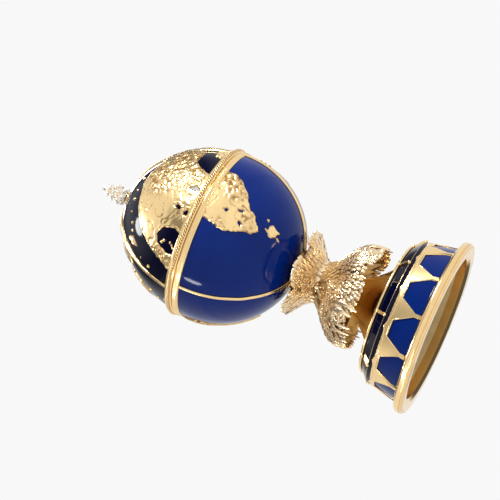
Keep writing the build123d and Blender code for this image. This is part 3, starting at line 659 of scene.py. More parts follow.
def relief_piece(name, land, water, islets, highlands, low_run, high_run, rim_side):
    """Raised land on the globe, whose coasts dip under the enamel.

    Its relief stays low close to the run rim_side, so that the band lies flat on it.
    """
    sizes = bpy.context.scene.box_globe
    egg = Egg()
    columns = int(TURN * egg.radius / sizes.map_step)
    rows = int((high_run - low_run) / sizes.map_step)
    azimuths = np.pi - np.arange(columns + 1) * TURN / columns
    runs = low_run + np.arange(rows + 1) * (high_run - low_run) / rows
    stations = [egg.point(run) for run in runs]
    grid_a = np.tile(azimuths, rows + 1)
    grid_v = np.repeat(runs, columns + 1)
    grid_r = np.repeat([station[0] for station in stations], columns + 1)
    depth = shore_distance(egg, land, grid_a, grid_v, grid_r)
    depth = np.minimum(depth, -shore_distance(egg, water, grid_a, grid_v, grid_r))
    for azimuth, height, size in islets:
        across = (grid_a - math.radians(azimuth)) * grid_r
        away = np.hypot(across, grid_v - egg.run(height * MM))
        depth = np.maximum(depth, size * MM - away)
    peaks = []
    for azimuth, height, reach, share in highlands:
        radius, level, slope = egg.point(egg.run(height * MM))
        peaks.append((toward(math.radians(azimuth), radius, level), reach * MM, share))
    proud = np.zeros(len(grid_a))
    recess = np.zeros(len(grid_a))
    dip, dip_run, open_water = 0.14 * MM, 0.35 * MM, -1.3 * MM
    coast_size, coast_wander, thickness = 1.5 * MM, 0.38 * MM, 0.25 * MM
    for index in range(len(grid_a)):
        if depth[index] < open_water:
            proud[index] = -dip
            continue
        radius, height, slope = stations[index // (columns + 1)]
        spot = toward(grid_a[index], radius, height)
        inland = depth[index] + noise.fractal(spot / coast_size, 0.9, 2.1, 4) * coast_wander
        if inland < 0:
            proud[index] = -dip * min(1.0, -inland / dip_run)
            # painted shade where the coast dips under the enamel
            recess[index] = 0.5
            continue
        clear = ramp(abs(grid_v[index] - rim_side), 0.2 * MM, 1.2 * MM)
        rough = ruggedness(spot, peaks)
        proud[index], recess[index] = land_surface(sizes, spot, inland, rough, clear)
    coordinates = np.zeros((len(grid_a), 3))
    for row, (radius, height, slope) in enumerate(stations):
        line = slice(row * (columns + 1), (row + 1) * (columns + 1))
        reach = radius + proud[line] * math.cos(slope)
        coordinates[line, 0] = -reach * np.sin(grid_a[line])
        coordinates[line, 1] = -reach * np.cos(grid_a[line])
        coordinates[line, 2] = height + proud[line] * math.sin(slope)
    select_nothing()
    bpy.ops.mesh.primitive_grid_add(x_subdivisions=columns, y_subdivisions=rows, size=2.0)
    piece = bpy.context.object
    mesh = piece.data
    mesh.vertices.foreach_set("co", coordinates.ravel())
    store_painted_shade(piece, recess)
    mesh.polygons.foreach_set("select", np.zeros(len(mesh.polygons), bool))
    mesh.edges.foreach_set("select", np.zeros(len(mesh.edges), bool))
    mesh.vertices.foreach_set("select", proud <= -dip * 0.98)
    bpy.ops.object.mode_set(mode="EDIT")
    bpy.ops.mesh.delete(type="FACE")
    bpy.ops.object.mode_set(mode="OBJECT")
    with edit_mode(piece):
        bpy.ops.mesh.remove_doubles(threshold=MERGE)
    solid_wall(piece, thickness)
    return settle(piece, name, sharp_angle=60.0)


def half_round_bar(points, normals, radius, name):
    """A bar of round section along points on a surface with those normals, half sunk in it."""
    sides = 12
    count = len(points) - 1

    def place(across, up):
        index = min(count, round(up * count))
        ahead = points[min(count, index + 1)] - points[max(0, index - 1)]
        sideways = ahead.normalized().cross(normals[index])
        turn = across * TURN
        return points[index] + radius * (
            math.cos(turn) * sideways + math.sin(turn) * normals[index]
        )

    bar = grid_piece(name, sides, count, place)
    close_ends(bar)
    return bar


def meridian_piece(name, first_azimuth, low_run, high_run, radius):
    """Three hand-laid wires up the globe, a little uneven along their length."""
    egg = Egg()
    bars = []
    wires, steps, wander = 3, 60, 0.12 * MM
    for index in range(wires):
        azimuth = first_azimuth + index * TURN / wires
        points, normals = [], []
        for step in range(steps + 1):
            run = low_run + (high_run - low_run) * step / steps
            wobble = noise.noise(Vector((index * 9.0, run / (4 * MM), 0)))
            reach, height, slope = egg.point(run, radius * 0.35)
            here = azimuth + wobble * wander / max(reach, MM)
            points.append(toward(here, reach, height))
            normals.append(toward(here, math.cos(slope), math.sin(slope)))
        bars.append(half_round_bar(points, normals, radius, name))
    return settle(join(bars, name), name)


def milled_ring(name, radius, low, high, ridges, slant, depth, gap=0.0):
    """A band of slanted ridges round the axis, open over a gap at the back."""
    per_ridge, rows = 6, 8
    sweep = TURN - gap
    columns = int(ridges * per_ridge * sweep / TURN)

    def place(across, up):
        azimuth = math.pi - gap / 2 - across * sweep
        phase = azimuth * ridges + up * slant
        ridge = abs((phase / math.pi) % 2 - 1)
        end = ramp(up, 0.0, 0.12) * (1 - ramp(up, 0.88, 1.0))
        return toward(azimuth, radius + depth * (ridge - 0.5) * end, low + up * (high - low))

    piece = grid_piece(name, columns, rows, place, closed=False)
    solid_wall(piece, depth * 2)
    return settle(piece, name)


def rope_piece(name, radius, height, wire, twists, gap):
    """A twisted wire of two strands laid round the band, open over a gap at the back."""
    sides, per_twist = 14, 8
    sweep = TURN - gap
    columns = int(twists * per_twist * sweep / TURN)

    def place(across, up):
        azimuth = math.pi - gap / 2 - across * sweep
        turn = up * TURN
        lobes = abs(math.cos(turn + azimuth * twists / 2))
        reach = wire * (0.5 + 0.5 * lobes**0.6)
        return toward(azimuth, radius + reach * math.cos(turn), height + reach * math.sin(turn))

    piece = grid_piece(name, columns, sides, place)
    close_ends(piece)
    # painted shade in the grooves between the two strands
    recess = []
    for vertex in piece.data.vertices:
        out = math.hypot(vertex.co.x, vertex.co.y) - radius
        lobe = math.hypot(out, vertex.co.z - height) / wire
        recess.append(1 - ramp(lobe, 0.72, 0.98))
    store_painted_shade(piece, recess)
    return settle(piece, name, sharp_angle=50.0)


class BOX_OT_map(bpy.types.Operator):
    """Raise the continents on the lid and the bowl"""

    bl_idname = "trinket_box.land"
    bl_label = "Continents"

    def execute(self, context):
        egg = Egg()
        rim_top = egg.run(frame_top("lid_rim"))
        rim_foot = egg.run(frame_foot("bowl_rim"))
        top, foot = egg.run(MAP_TOP), egg.run(MAP_FOOT)
        lid = relief_piece(
            "lid_continents", LID_LAND, LID_WATER, LID_ISLETS, LID_HIGHLANDS, rim_top, top, rim_top
        )
        hand_over(lid, "lid", "gold_relief", "lid_land")
        bowl = relief_piece(
            "bowl_continents", BOWL_LAND, BOWL_WATER, BOWL_ISLETS, BOWL_HIGHLANDS, foot, rim_foot,
            rim_foot,
        )
        hand_over(bowl, "base", "gold_relief", "bowl_land")
        return {"FINISHED"}


class BOX_OT_band(bpy.types.Operator):
    """Lay the twisted wire, the ridged rim and the meridian wires"""

    bl_idname = "trinket_box.band"
    bl_label = "Band and Wires"

    def execute(self, context):
        sizes = context.scene.box_globe
        low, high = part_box("rope_ring")
        wire = (high.z - low.z) / 2
        rim = frame_radius("bowl_rim")
        hinge_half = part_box("bowl_knuckles")[1].x + 0.1 * MM
        gap = 2 * math.asin(hinge_half / rim)
        rope = rope_piece("rope_wire", rim, (low.z + high.z) / 2, wire, sizes.rope_twists, gap)
        hand_over(rope, "lid", "gold_relief", "rope_ring")
        foot = frame_foot("bowl_rim")
        low_edge, high_edge = foot + 0.5 * MM, frame_foot("lid_rim") - 0.45 * MM
        slant, cut, ridge_gap = 5.0, 0.12 * MM, gap + 2 * MM / rim
        ridges = milled_ring(
            "bowl_rim_ridges", rim + 0.02 * MM, low_edge, high_edge, sizes.mill_ridges, slant, cut,
            ridge_gap,
        )
        hand_over(ridges, "base", "gold_polished")
        egg = Egg()
        lid_azimuth, bowl_azimuth, radius = math.radians(67), math.radians(61), 0.5 * MM
        rim_run = egg.run(frame_top("lid_rim"))
        seat_run = egg.run(frame_foot("finial_seat") + 0.2 * MM)
        column_run = egg.run(sizes.bowl_foot + 0.6 * MM)
        lid = meridian_piece("lid_meridians", lid_azimuth, rim_run, seat_run, radius)
        hand_over(lid, "lid", "gold_polished", "lid_wires")
        bowl = meridian_piece("bowl_meridians", bowl_azimuth, column_run, egg.run(foot), radius)
        hand_over(bowl, "base", "gold_polished", "bowl_wires")
        return {"FINISHED"}


class Mantle:
    """The supports' outer face: its radius at a height, and points on one support's front."""

    def __init__(self):
        sizes = bpy.context.scene.box_stem
        low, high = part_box("winged_support_1")
        self.high = high.z
        self.stations = [
            (low.z, sizes.skirt_tip_radius),
            (low.z + 4.7 * MM, sizes.skirt_radius),
            (high.z - 12.7 * MM, sizes.breast_radius),
            (high.z - 6.9 * MM, sizes.neck_radius),
            (high.z, sizes.wing_tip_radius),
        ]

    def radius(self, height):
        """A smooth curve through the stations."""
        levels = self.stations
        height = min(max(height, levels[0][0]), levels[-1][0])
        for index in range(len(levels) - 1):
            if height <= levels[index + 1][0]:
                break
        before = levels[max(0, index - 1)]
        start, end = levels[index], levels[index + 1]
        after = levels[min(len(levels) - 1, index + 2)]
        share = (height - start[0]) / (end[0] - start[0])
        span = end[0] - start[0]
        slope_in = (end[1] - before[1]) / (end[0] - before[0]) * span
        slope_out = (after[1] - start[1]) / (after[0] - start[0]) * span
        s2, s3 = share**2, share**3
        return (
            start[1] * (2 * s3 - 3 * s2 + 1)
            + slope_in * (s3 - 2 * s2 + share)
            + end[1] * (3 * s2 - 2 * s3)
            + slope_out * (s3 - s2)
        )

    def point(self, azimuth, across, height, proud):
        """A point of the support that faces azimuth, across its front and at a height."""
        reach = self.radius(height) + proud
        depth = math.sqrt(max(0.0, reach**2 - across**2))
        right = toward(azimuth - math.pi / 2, 1.0)
        return right * across + toward(azimuth, depth, height)


def feather_grid(mantle, azimuth, root, angle, length, width, proud, lift):
    """One small feather: a plump pointed leaf that lifts to its tip, bent to the support."""
    along = Vector((math.cos(angle), math.sin(angle)))
    side = Vector((-along.y, along.x))

    def place(across, up):
        spread = 2 * across - 1
        half = width / 2 * math.sin(math.pi * min(1.0, 0.2 + up * 0.8)) ** 0.7
        spot = Vector(root) + along * (up * length) + side * (spread * half)
        dome = (1 - spread**2) * math.sin(math.pi * (0.1 + 0.8 * up)) * width * 0.3
        return mantle.point(azimuth, spot.x, spot.y, proud + lift * up**1.5 + dome)

    return place


def feather_mesh(name, places):
    """Many feathers as one mesh of small grids, with painted shade at the root and along the edges."""
    columns, rows = 4, 5
    grid = [(c / columns, r / rows) for r in range(rows + 1) for c in range(columns + 1)]
    vertices, faces, shades = [], [], []
    for place in places:
        first = len(vertices)
        for across, up in grid:
            vertices.append(place(across, up))
            edge = abs(2 * across - 1)
            # painted shade: darker at the root, under the feather above, and along the edges
            shades.append(min(1.0, 1.1 * (1 - up) ** 2 + 0.9 * edge**3 * (1 - 0.5 * up)))
        for r in range(rows):
            for c in range(columns):
                a = first + r * (columns + 1) + c
                faces.append((a, a + 1, a + columns + 2, a + columns + 1))
    mesh = bpy.data.meshes.new(name)
    mesh.from_pydata(vertices, [], faces)
    piece = link(name, mesh)
    store_painted_shade(piece, shades)
    return piece


def fan_feathers(mantle, azimuth, shift, side, height, angles, rays, reach):
    """Overlapping feathers along the rays of one fan. reach gives a ray's length from its share."""
    sizes = bpy.context.scene.box_stem
    wander, overlap = math.radians(26), 0.5
    places = []
    for ray in range(rays):
        share = ray / (rays - 1)
        angle = math.radians(angles[0] + (angles[1] - angles[0]) * share)
        if side < 0:
            angle = math.pi - angle
        along = Vector((math.cos(angle), math.sin(angle)))
        far = reach(share)
        run = (0.2 + 0.5 * (ray % 2)) * MM
        while run < far - 0.6 * MM:
            grow = 0.75 + 0.4 * run / far
            stretch = sizes.feather_length * grow * (1 + 0.3 * (shift.random() - 0.5))
            stretch = min(stretch, far + 0.5 * MM - run)
            root = Vector((side * sizes.fan_spread, height)) + along * run
            turn = angle + wander * (shift.random() - 0.5)
            lift = (0.4 + 0.7 * shift.random()) * MM
            if abs(root.x) < mantle.radius(root.y) * 0.93:
                width, proud = sizes.feather_width * grow, (0.1 + 0.3 * shift.random()) * MM
                places.append(
                    feather_grid(mantle, azimuth, root, turn, stretch, width, proud, lift)
                )
            run += stretch * overlap
    return places


def tail_tines(mantle, azimuth, shift, side):
    """The two long quills that stand past the edge of the tail on one side."""
    places = []
    for tine in range(2):
        root = (side * (10.6 + 1.5 * tine) * MM, mantle.high - (14.4 - 0.5 * tine) * MM)
        steep = math.radians(-80.0)
        steep = steep if side > 0 else math.pi - steep
        length = (8.0 + 0.9 * shift.random()) * MM
        places.append(
            feather_grid(mantle, azimuth, root, steep, length, 0.8 * MM, 1.0 * MM, 0.3 * MM)
        )
    return places


def seam_feathers(mantle, azimuth, shift):
    """Small feathers that fill the seam between one support and the next."""
    seam = azimuth + math.pi / SUPPORTS
    length, width, proud = 2.0 * MM, 1.35 * MM, -0.8 * MM
    rows, splay = 8, 120.0
    places = []
    for row in range(rows):
        count = 3 + row % 2
        for spot in range(count):
            across = (spot - (count - 1) / 2) * 1.15 * MM
            root = (across, mantle.high - (5.4 + 0.95 * row) * MM)
            turn = math.radians(-90) + across * splay
            lift = (0.3 + 0.4 * shift.random()) * MM
            places.append(feather_grid(mantle, seam, root, turn, length, width, proud, lift))
    return places


def breast_scales(mantle, azimuth, shift):
    """Rows of scale-like feathers down the middle of one support."""
    rows, fall, length, width = 13, 17.6 * MM, 2.1 * MM, 1.4 * MM
    pitch, spacing, splay, wander = 1.15 * MM, 1.2 * MM, 90.0, math.radians(20)
    places = []
    for row in range(rows):
        share = row / (rows - 1)
        height = mantle.high - 0.8 * MM - fall * share
        half = (1.0 + 2.0 * math.sin(math.pi * min(1.0, 0.15 + 0.85 * share))) * MM
        plump = (0.7 + 0.8 * math.sin(math.pi * share)) * MM
        count = max(1, round(2 * half / pitch)) + row % 2
        for spot in range(count):
            across = (spot - (count - 1) / 2) * spacing
            turn = math.radians(-90) + across * splay + wander * (shift.random() - 0.5)
            proud = plump * (1 - (across / (half * 1.6)) ** 2)
            lift = (0.3 + 0.5 * shift.random()) * MM
            root = (across, height)
            places.append(feather_grid(mantle, azimuth, root, turn, length, width, proud, lift))
    return places


def plumage_piece(mantle, azimuth, name):
    """The feathers of one support: two raised wings, a spread tail with tines and a breast."""
    sizes = bpy.context.scene.box_stem
    shift = random.Random(round(azimuth * 1000) + 5)
    wing_height = mantle.high - sizes.wing_root_drop
    tail_height = wing_height - sizes.fan_spread
    wing_rays, tail_rays = 10, 15
    wing_angles, tail_angles = (34.0, 84.0), (-16.0, -86.0)
    longest = 0.35

    def wing_reach(share):
        return sizes.wing_length * (1 - share / 3)

    def tail_reach(share):
        shortening = 0.6 if share < longest else 0.45
        return sizes.tail_length * (1 - shortening * abs(share - longest))

    places = []
    for side in (1, -1):
        fan = mantle, azimuth, shift, side
        places += fan_feathers(*fan, wing_height, wing_angles, wing_rays, wing_reach)
        places += fan_feathers(*fan, tail_height, tail_angles, tail_rays, tail_reach)
        places += tail_tines(*fan)
    places += seam_feathers(mantle, azimuth, shift)
    places += breast_scales(mantle, azimuth, shift)
    piece = feather_mesh(name, places)
    solid_wall(piece, 0.22 * MM)
    return settle(piece, name, sharp_angle=60.0)


class BOX_OT_plumage(bpy.types.Operator):
    """Lay the feathers over the three winged supports"""

    bl_idname = "trinket_box.plumage"
    bl_label = "Plumage"

    def execute(self, context):
        mantle = Mantle()
        for index in range(SUPPORTS):
            azimuth = context.scene.box_stem.azimuth + index * TURN / SUPPORTS
            piece = plumage_piece(mantle, azimuth, f"plumage_{index + 1}")
            hand_over(piece, "base", "gold_relief", paint="gold_plumage")
        return {"FINISHED"}


def leaf_piece(name, root_radius, root_height, reach, rise, width):
    """A pointed leaf that stands out from the axis at azimuth 0 and curls at its tip."""
    curl, rib_height, cup_depth = 0.5 * MM, 0.25 * MM, -0.3 * MM
    columns, rows, thickness = 6, 10, 0.3 * MM

    def place(across, up):
        spread = 2 * across - 1
        half = width / 2 * math.sin(math.pi * min(1.0, 0.22 + 0.78 * up)) ** 0.8
        out = root_radius + (reach - root_radius) * up**1.3 + curl * max(0.0, up - 0.6)
        rib = rib_height * (1 - abs(spread)) ** 1.5
        cup = cup_depth * spread**2
        height = root_height + rise * up - 0.35 * rise * max(0.0, up - 0.75)
        return Vector((spread * half, -(out + rib + cup), height))

    piece = grid_piece(name, columns, rows, place, closed=False)
    solid_wall(piece, thickness)
    # painted shade, darker along the middle of each leaf
    sides = (abs(vertex.co.x) / width for vertex in piece.data.vertices)
    store_painted_shade(piece, [max(0.0, 0.6 - side) * 0.4 for side in sides])
    return piece


def ball(name, centre, radius, segments=14, rings=9, facet=0.0):
    """A round bead, or a stone whose edges are cut to facets by a share of its radius."""
    select_nothing()
    bpy.ops.mesh.primitive_uv_sphere_add(
        segments=segments, ring_count=rings, radius=radius, location=centre
    )
    piece = bpy.context.object
    if facet:
        with edit_mode(piece):
            bpy.ops.mesh.bevel(offset=radius * facet, segments=1, affect="EDGES")
    bpy.ops.object.transform_apply(location=True, rotation=True, scale=True)
    piece.name = name
    return piece


def turned_piece(name, outline):
    """A turned body from its outline of (radius, height) points."""
    mesh = bpy.data.meshes.new(name)
    points = [Vector((radius, 0.0, height)) for radius, height in outline]
    mesh.from_pydata(points, [(i, i + 1) for i in range(len(points) - 1)], [])
    piece = link(name, mesh)
    with edit_mode(piece):
        bpy.ops.mesh.spin(steps=48, angle=TURN, center=ORIGIN, axis=(0.0, 0.0, 1.0))
        bpy.ops.mesh.select_all(action="SELECT")
        bpy.ops.mesh.remove_doubles(threshold=MERGE)
        bpy.ops.mesh.normals_make_consistent(inside=False)
    return piece


# The finial, in millimetres over its foot: the core's outline as (radius, height), rings of leaves
# as (root radius, root height, reach, rise, width) and rings of stones as (reach, height, share of
# the top stone's radius). Every second ring of leaves is turned half a leaf.
CORE_OUTLINE = (
    (0.0, 0.0), (2.1, 0.0), (2.35, 0.5), (2.2, 1.0), (1.5, 1.7), (1.15, 2.8), (1.0, 3.8),
    (1.45, 4.4), (1.45, 4.9), (0.95, 5.6), (0.75, 6.6), (1.0, 7.3),
)
LEAF_RINGS = (
    (1.4, 0.7, 2.9, 3.5, 2.5), (1.3, 1.6, 2.6, 3.4, 2.3), (1.1, 2.7, 2.3, 3.3, 2.1),
    (0.9, 3.8, 2.0, 3.1, 1.8), (0.8, 4.9, 1.6, 2.9, 1.5),
)
TURNED_STONES = ((2.3, 1.5, 1.0), (2.25, 4.9, 0.55))
STRAIGHT_STONES = ((1.55, 4.65, 0.8), (2.75, 3.0, 0.55), (1.5, 6.8, 0.55))
STONE_CUT = (8, 6, 0.08)  # sides, rings and facet of a stone


class BOX_OT_finial(bpy.types.Operator):
    """Model the leafy finial and its stones"""

    bl_idname = "trinket_box.finial"
    bl_label = "Finial"

    def execute(self, context):
        foot, tip = frame_foot("finial_crown"), frame_top("finial_crystals")
        stone, half_leaf = 0.78 * MM, math.pi / LEAVES
        outline = [(radius * MM, foot + height * MM) for radius, height in CORE_OUTLINE]
        outline += [(0.6 * MM, tip - stone), (0.0, tip - stone * 1.2)]
        core = turned_piece("crown_core", outline)
        store_painted_shade(core, [0.0] * len(core.data.vertices))
        leaves = [core]
        for index, (root, height, reach, rise, width) in enumerate(LEAF_RINGS):
            leaf = leaf_piece(
                "crown_leaf", root * MM, foot + height * MM, reach * MM, rise * MM, width * MM
            )
            leaves += copy_turned(leaf, LEAVES, half_leaf * (index % 2))
        crown = settle(join(leaves, "crown_leaves"), "crown_leaves", sharp_angle=40.0)
        hand_over(crown, "lid", "gold_relief", "finial_crown", paint="gold_crown")
        stones = [ball("top_stone", (0.0, 0.0, tip - stone), stone, *STONE_CUT)]
        for rings, turn in ((TURNED_STONES, half_leaf), (STRAIGHT_STONES, 0.0)):
            for reach, height, share in rings:
                centre = (0.0, -reach * MM, foot + height * MM)
                chip = ball("ring_stone", centre, stone * share, *STONE_CUT)
                stones += copy_turned(chip, LEAVES, turn)
        cut = join(stones, "cut_stones")
        take(cut)
        bpy.ops.object.shade_flat()
        hand_over(cut, "lid", "crystal", "finial_crystals")
        return {"FINISHED"}


def cell_wire(name, corners, cone, radius):
    """A raised wire that outlines one enamelled cell of the drum, at azimuth 0."""
    per_side = 6
    points = []
    for (start_x, start_z), (end_x, end_z) in zip(corners, corners[1:]):
        for step in range(per_side):
            share = step / per_side
            points.append((start_x + (end_x - start_x) * share, start_z + (end_z - start_z) * share))
    points.append(corners[-1])
    laid, normals = [], []
    for x, z in points:
        reach = cone(z)
        laid.append(Vector((x, -math.sqrt(reach**2 - x**2), z)))
        normals.append(Vector((x / reach, -math.sqrt(1 - (x / reach) ** 2), 0.2)).normalized())
    return half_round_bar(laid, normals, radius, name)


def scallop_pieces(cone, head, drop, dip):
    """The navy enamel that hangs over the drum's upper edge in arches, and the wire along it."""
    steps, rows, proud = CELLS * 16, 4, 0.1 * MM

    def edge_height(azimuth):
        return head - drop - dip * abs(math.sin(azimuth * CELLS / 2)) ** 0.8

    def place(across, up):
        azimuth = math.pi - across * TURN
        edge = edge_height(azimuth)
        height = edge + up * (head - edge)
        return toward(azimuth, cone(height) + proud, height)

    enamel = grid_piece("navy_scallops", steps, rows, place, closed=False)
    solid_wall(enamel, proud * 1.8)
    points, normals = [], []
    for step in range(steps + 1):
        azimuth = math.pi - step * TURN / steps
        edge = edge_height(azimuth)
        points.append(toward(azimuth, cone(edge) + proud * 0.6, edge))
        normals.append(toward(azimuth, 0.97, 0.24))
    wire = half_round_bar(points, normals, 0.2 * MM, "scallop_wire")
    return settle(enamel, "navy_scallops"), settle(wire, "scallop_wire", sharp_angle=50.0)


class BOX_OT_foot(bpy.types.Operator):
    """Trim the foot: cell wires, scallops, beads and the milled flange"""

    bl_idname = "trinket_box.foot"
    bl_label = "Foot Trim"

    def execute(self, context):
        low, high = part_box("drum_fretwork")
        foot_z, head_z = low.z, high.z
        foot_r, head_r = high.x, frame_radius("shoulder_enamel")

        def cone(z):
            """Radius of the drum at a height."""
            return foot_r + (head_r - foot_r) * (z - foot_z) / (head_z - foot_z)

        def wire_cone(z):
            return cone(z) + 0.05 * MM

        half_foot, half_head = 6.0 * MM, 2.7 * MM
        sill, corner, cell_top = foot_z + 0.2 * MM, foot_z + 1.85 * MM, foot_z + 7.4 * MM
        outline = [
            (-half_foot, sill), (-half_foot, corner), (-half_head, cell_top),
            (half_head, cell_top), (half_foot, corner), (half_foot, sill),
        ]
        trim = copy_turned(cell_wire("cell_wire", outline, wire_cone, 0.28 * MM), CELLS)
        wires = settle(join(trim, "cell_wires"), "cell_wires", sharp_angle=50.0)
        hand_over(wires, "base", "gold_polished")
        drop, dip = 0.9 * MM, 1.2 * MM
        enamel, edge = scallop_pieces(cone, head_z - 0.1 * MM, drop, dip)
        hand_over(enamel, "base", "enamel_navy")
        hand_over(edge, "base", "gold_polished")

        bead = 0.62 * MM
        collar_r, collar_z = frame_radius("base_top"), frame_foot("base_top") + 0.45 * MM
        shoulder_beads = []
        for reach, height in (
            (head_r + 0.15 * MM, head_z + 0.1 * MM),
            (collar_r - 0.1 * MM, collar_z - 0.15 * MM),
        ):
            one = ball("shoulder_bead", (0.0, -reach, height), bead)
            shoulder_beads += copy_turned(one, BARS, math.pi / BARS)
        beads = settle(join(shoulder_beads, "shoulder_beads"), "shoulder_beads", sharp_angle=180.0)
        hand_over(beads, "base", "gold_polished")

        rim, low_edge, high_edge = frame_radius("base_flange") - 0.04 * MM, 0.9 * MM, 2.1 * MM
        count, slant, cut = 280, 4.0, 0.1 * MM
        ridges = milled_ring("flange_ridges", rim, low_edge, high_edge, count, slant, cut)
        hand_over(ridges, "base", "gold_polished")
        return {"FINISHED"}


# Pieces whose plating looks other than the rest of their slot: the supports' cores are darkened as
# painted shade in the gaps between the feathers, and the drum is stippled.
OWN_PAINTS = {
    "winged_support_1": "cast_ground",
    "winged_support_2": "cast_ground",
    "winged_support_3": "cast_ground",
    "drum_fretwork": "stippled_gold",
}


class BOX_OT_finish(bpy.types.Operator):
    """Polish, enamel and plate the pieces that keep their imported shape"""

    bl_idname = "trinket_box.finish"
    bl_label = "Finishes of the Plain Pieces"

    def execute(self, context):
        slots = {entry["node"]: entry["material_slot"] for entry in frame["record"]["subparts"]}
        for name, piece in frame["nodes"].items():
            dress(piece, OWN_PAINTS.get(name, slots[name]))
            for polygon in piece.data.polygons:
                polygon.use_smooth = True
            weld = piece.modifiers.new("Weld", "WELD")
            weld.merge_threshold = 0.001 * MM
            split = piece.modifiers.new("Sharp edges", "EDGE_SPLIT")
            split.split_angle = math.radians(28.0)
        return {"FINISHED"}


def sight_line(azimuth, elevation, distance):
    """The way from what is lit or seen to a lamp or the camera, its angles in degrees."""
    lift = math.radians(elevation)
    return toward(math.radians(azimuth), distance * math.cos(lift), distance * math.sin(lift))


# The lamps, all soft discs: azimuth and elevation in degrees, width, height (metres) and power.
LAMPS = {
    "key": (-36.0, 38.0, 0.26, 0.2, 6.8),
    "fill": (88.0, 6.0, 0.06, 0.28, 1.2),
    "top": (120.0, 72.0, 0.2, 0.2, 2.4),
    "back": (-160.0, 28.0, 0.3, 0.3, 2.4),
}
LAMP_DISTANCE = 0.8
LAMP_TARGET = Vector((0.0, 0.0, 60.0 * MM))
# The backdrop's grey levels from straight down to straight up: pale round the horizon and
# overhead, darker between.
BACKDROP = (
    (0.0, 0.10), (0.29, 0.12), (0.396, 0.94), (0.71, 0.94), (0.775, 0.2), (0.85, 0.2),
    (0.92, 0.86), (1.0, 0.86),
)
FLOOR_RADIUS = 1.4
FLOOR_SEEN_SHARE = 0.74
# The camera's place round the middle of the band, and the height that it looks at.
BAND_HEIGHT, AIM_HEIGHT = 77.8 * MM, 64.0 * MM
CAMERA_AZIMUTH, CAMERA_ELEVATION, CAMERA_ROLL, CAMERA_DISTANCE = 17.7, -13.9, -67.0, 605.0 * MM


def hang_lamp(name, azimuth, elevation, width, height, power):
    """A soft disc lamp that faces the object."""
    lamp = bpy.data.lights.new(name, "AREA")
    lamp.shape = "ELLIPSE"
    lamp.size, lamp.size_y = width, height
    lamp.energy = power
    away = sight_line(azimuth, elevation, LAMP_DISTANCE)
    holder = link(name, lamp)
    holder.location = LAMP_TARGET + away
    holder.rotation_euler = (-away).to_track_quat("-Z", "Y").to_euler()


def paint_backdrop(world):
    """The backdrop for the rays that see, and a plain dim grey for the rest."""
    world.use_nodes = True
    graph = Graph(world.node_tree)
    plain = world.node_tree.nodes["Background"]
    plain.inputs["Color"].default_value = (0.62, 0.63, 0.66, 1.0)
    plain.inputs["Strength"].default_value = 0.27
    direction = graph.node("ShaderNodeTexCoord", output="Generated")
    upward = graph.node("ShaderNodeSeparateXYZ", None, {0: direction}, "Z")
    height = graph.node("ShaderNodeMapRange", None, {"Value": upward, "From Min": -1.0})
    shade = graph.node("ShaderNodeValToRGB", {"stops": BACKDROP}, {0: height})
    seen = graph.node("ShaderNodeBackground", None, {"Color": shade})
    parts = {0: graph.seers(), 1: Wire(graph, plain.outputs[0]), 2: seen}
    graph.show(graph.node("ShaderNodeMixShader", None, parts))


def floor_paint():
    """A matt pale floor that evens out where it is seen, and is clear from below."""
    paint = Paint("floor_paint", 0.6)
    shade = tuple(bpy.context.scene.box_finishes.floor)
    paler = tuple(min(1.0, channel * 1.03) for channel in shade)
    paint.feed("Base Color", paint.blend(paint.grain(6.0, 2.0), shade, paler))
    glow = paint.node("ShaderNodeEmission", None, {"Color": (0.92, 0.92, 0.92, 1.0)})
    lit = Wire(paint, paint.shader.outputs[0])
    parts = {0: paint.seers() * FLOOR_SEEN_SHARE, 1: lit, 2: glow}
    even = paint.node("ShaderNodeMixShader", None, parts)
    below = paint.node("ShaderNodeNewGeometry", output="Backfacing")
    clear = paint.node("ShaderNodeBsdfTransparent")
    paint.show(paint.node("ShaderNodeMixShader", None, {0: below, 1: even, 2: clear}))
    return paint.material


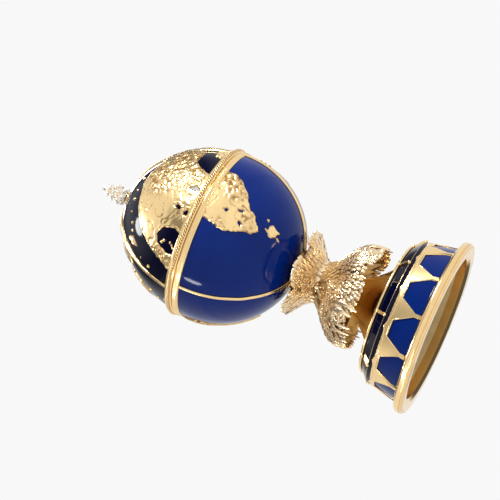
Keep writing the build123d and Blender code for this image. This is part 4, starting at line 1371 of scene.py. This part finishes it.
class BOX_OT_stage(bpy.types.Operator):
    """Set the floor, the studio light and the camera"""

    bl_idname = "trinket_box.stage"
    bl_label = "Stage"

    def execute(self, context):
        scene = context.scene
        scene.view_settings.view_transform = "Standard"
        self.lay_floor()
        scene.world = bpy.data.worlds.new("studio")
        paint_backdrop(scene.world)
        for name, values in LAMPS.items():
            hang_lamp(name, *values)
        scene.camera = self.set_camera()
        return {"FINISHED"}

    def lay_floor(self):
        """A ring that ends under the flange, so that the hollow foot stays open."""
        select_nothing()
        bpy.ops.mesh.primitive_circle_add(vertices=96, radius=FLOOR_RADIUS, fill_type="NOTHING")
        floor = bpy.context.object
        floor.name = "floor"
        inward = (frame_radius("base_flange") - 2.0 * MM) / FLOOR_RADIUS
        with edit_mode(floor):
            bpy.ops.mesh.extrude_edges_move()
            bpy.ops.transform.resize(value=(inward, inward, 1.0), center_override=ORIGIN)
            bpy.ops.mesh.select_all(action="SELECT")
            bpy.ops.mesh.normals_make_consistent(inside=False)
        if floor.data.polygons[0].normal.z < 0:
            floor.data.flip_normals()
        floor.data.materials.append(floor_paint())
        floor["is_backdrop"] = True

    def set_camera(self):
        """The photograph's view: from below the band, and rolled because the box lies there."""
        lens = bpy.data.cameras.new("camera")
        lens.lens = 139.0
        lens.sensor_width = 36.0
        lens.clip_start = 0.01
        camera = link("camera", lens)
        band = Vector((0.0, 0.0, BAND_HEIGHT))
        camera.location = band + sight_line(CAMERA_AZIMUTH, CAMERA_ELEVATION, CAMERA_DISTANCE)
        aim = (Vector((0.0, 0.0, AIM_HEIGHT)) - camera.location).normalized()
        right = aim.cross(Vector((0.0, 0.0, 1.0))).normalized()
        level = Matrix((right, right.cross(aim), -aim)).transposed()
        roll = Matrix.Rotation(math.radians(CAMERA_ROLL), 3, "Z")
        camera.rotation_euler = (level @ roll).to_euler()
        return camera


class BOX_PT_panel(bpy.types.Panel):
    """Lists the sizes, the finishes and the pieces of the trinket box"""

    bl_idname = "BOX_PT_panel"
    bl_label = "Trinket Box"
    bl_space_type = "VIEW_3D"
    bl_region_type = "UI"
    bl_category = "Trinket Box"

    def draw(self, context):
        for group in ("box_globe", "box_stem", "box_finishes"):
            settings = getattr(context.scene, group)
            column = self.layout.column(align=True)
            for name in settings.bl_rna.properties.keys():
                if name not in ("name", "rna_type"):
                    column.prop(settings, name)
        for operator in OPERATORS:
            self.layout.operator(operator.bl_idname)


OPERATORS = (
    BOX_OT_finish, BOX_OT_map, BOX_OT_band, BOX_OT_plumage, BOX_OT_finial, BOX_OT_foot,
    BOX_OT_stage,
)
GROUPS = {"box_globe": GlobeSizes, "box_stem": StemSizes, "box_finishes": Finishes}


def register():
    for group in GROUPS.values():
        bpy.utils.register_class(group)
    for name, group in GROUPS.items():
        setattr(bpy.types.Scene, name, bpy.props.PointerProperty(type=group))
    for operator in OPERATORS:
        bpy.utils.register_class(operator)
    bpy.utils.register_class(BOX_PT_panel)


def unregister():
    bpy.utils.unregister_class(BOX_PT_panel)
    for operator in reversed(OPERATORS):
        bpy.utils.unregister_class(operator)
    for name in GROUPS:
        delattr(bpy.types.Scene, name)
    for group in GROUPS.values():
        bpy.utils.unregister_class(group)


def main():
    """Makes every piece."""
    register()
    mix_paints()
    for operator in OPERATORS:
        group, name = operator.bl_idname.split(".")
        getattr(getattr(bpy.ops, group), name)()
    bounds = {"cad": cad_bounds, "visual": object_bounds()}
    plain = {key: [list(corner) for corner in box] for key, box in bounds.items()}


if __name__ == "__main__":
    main()
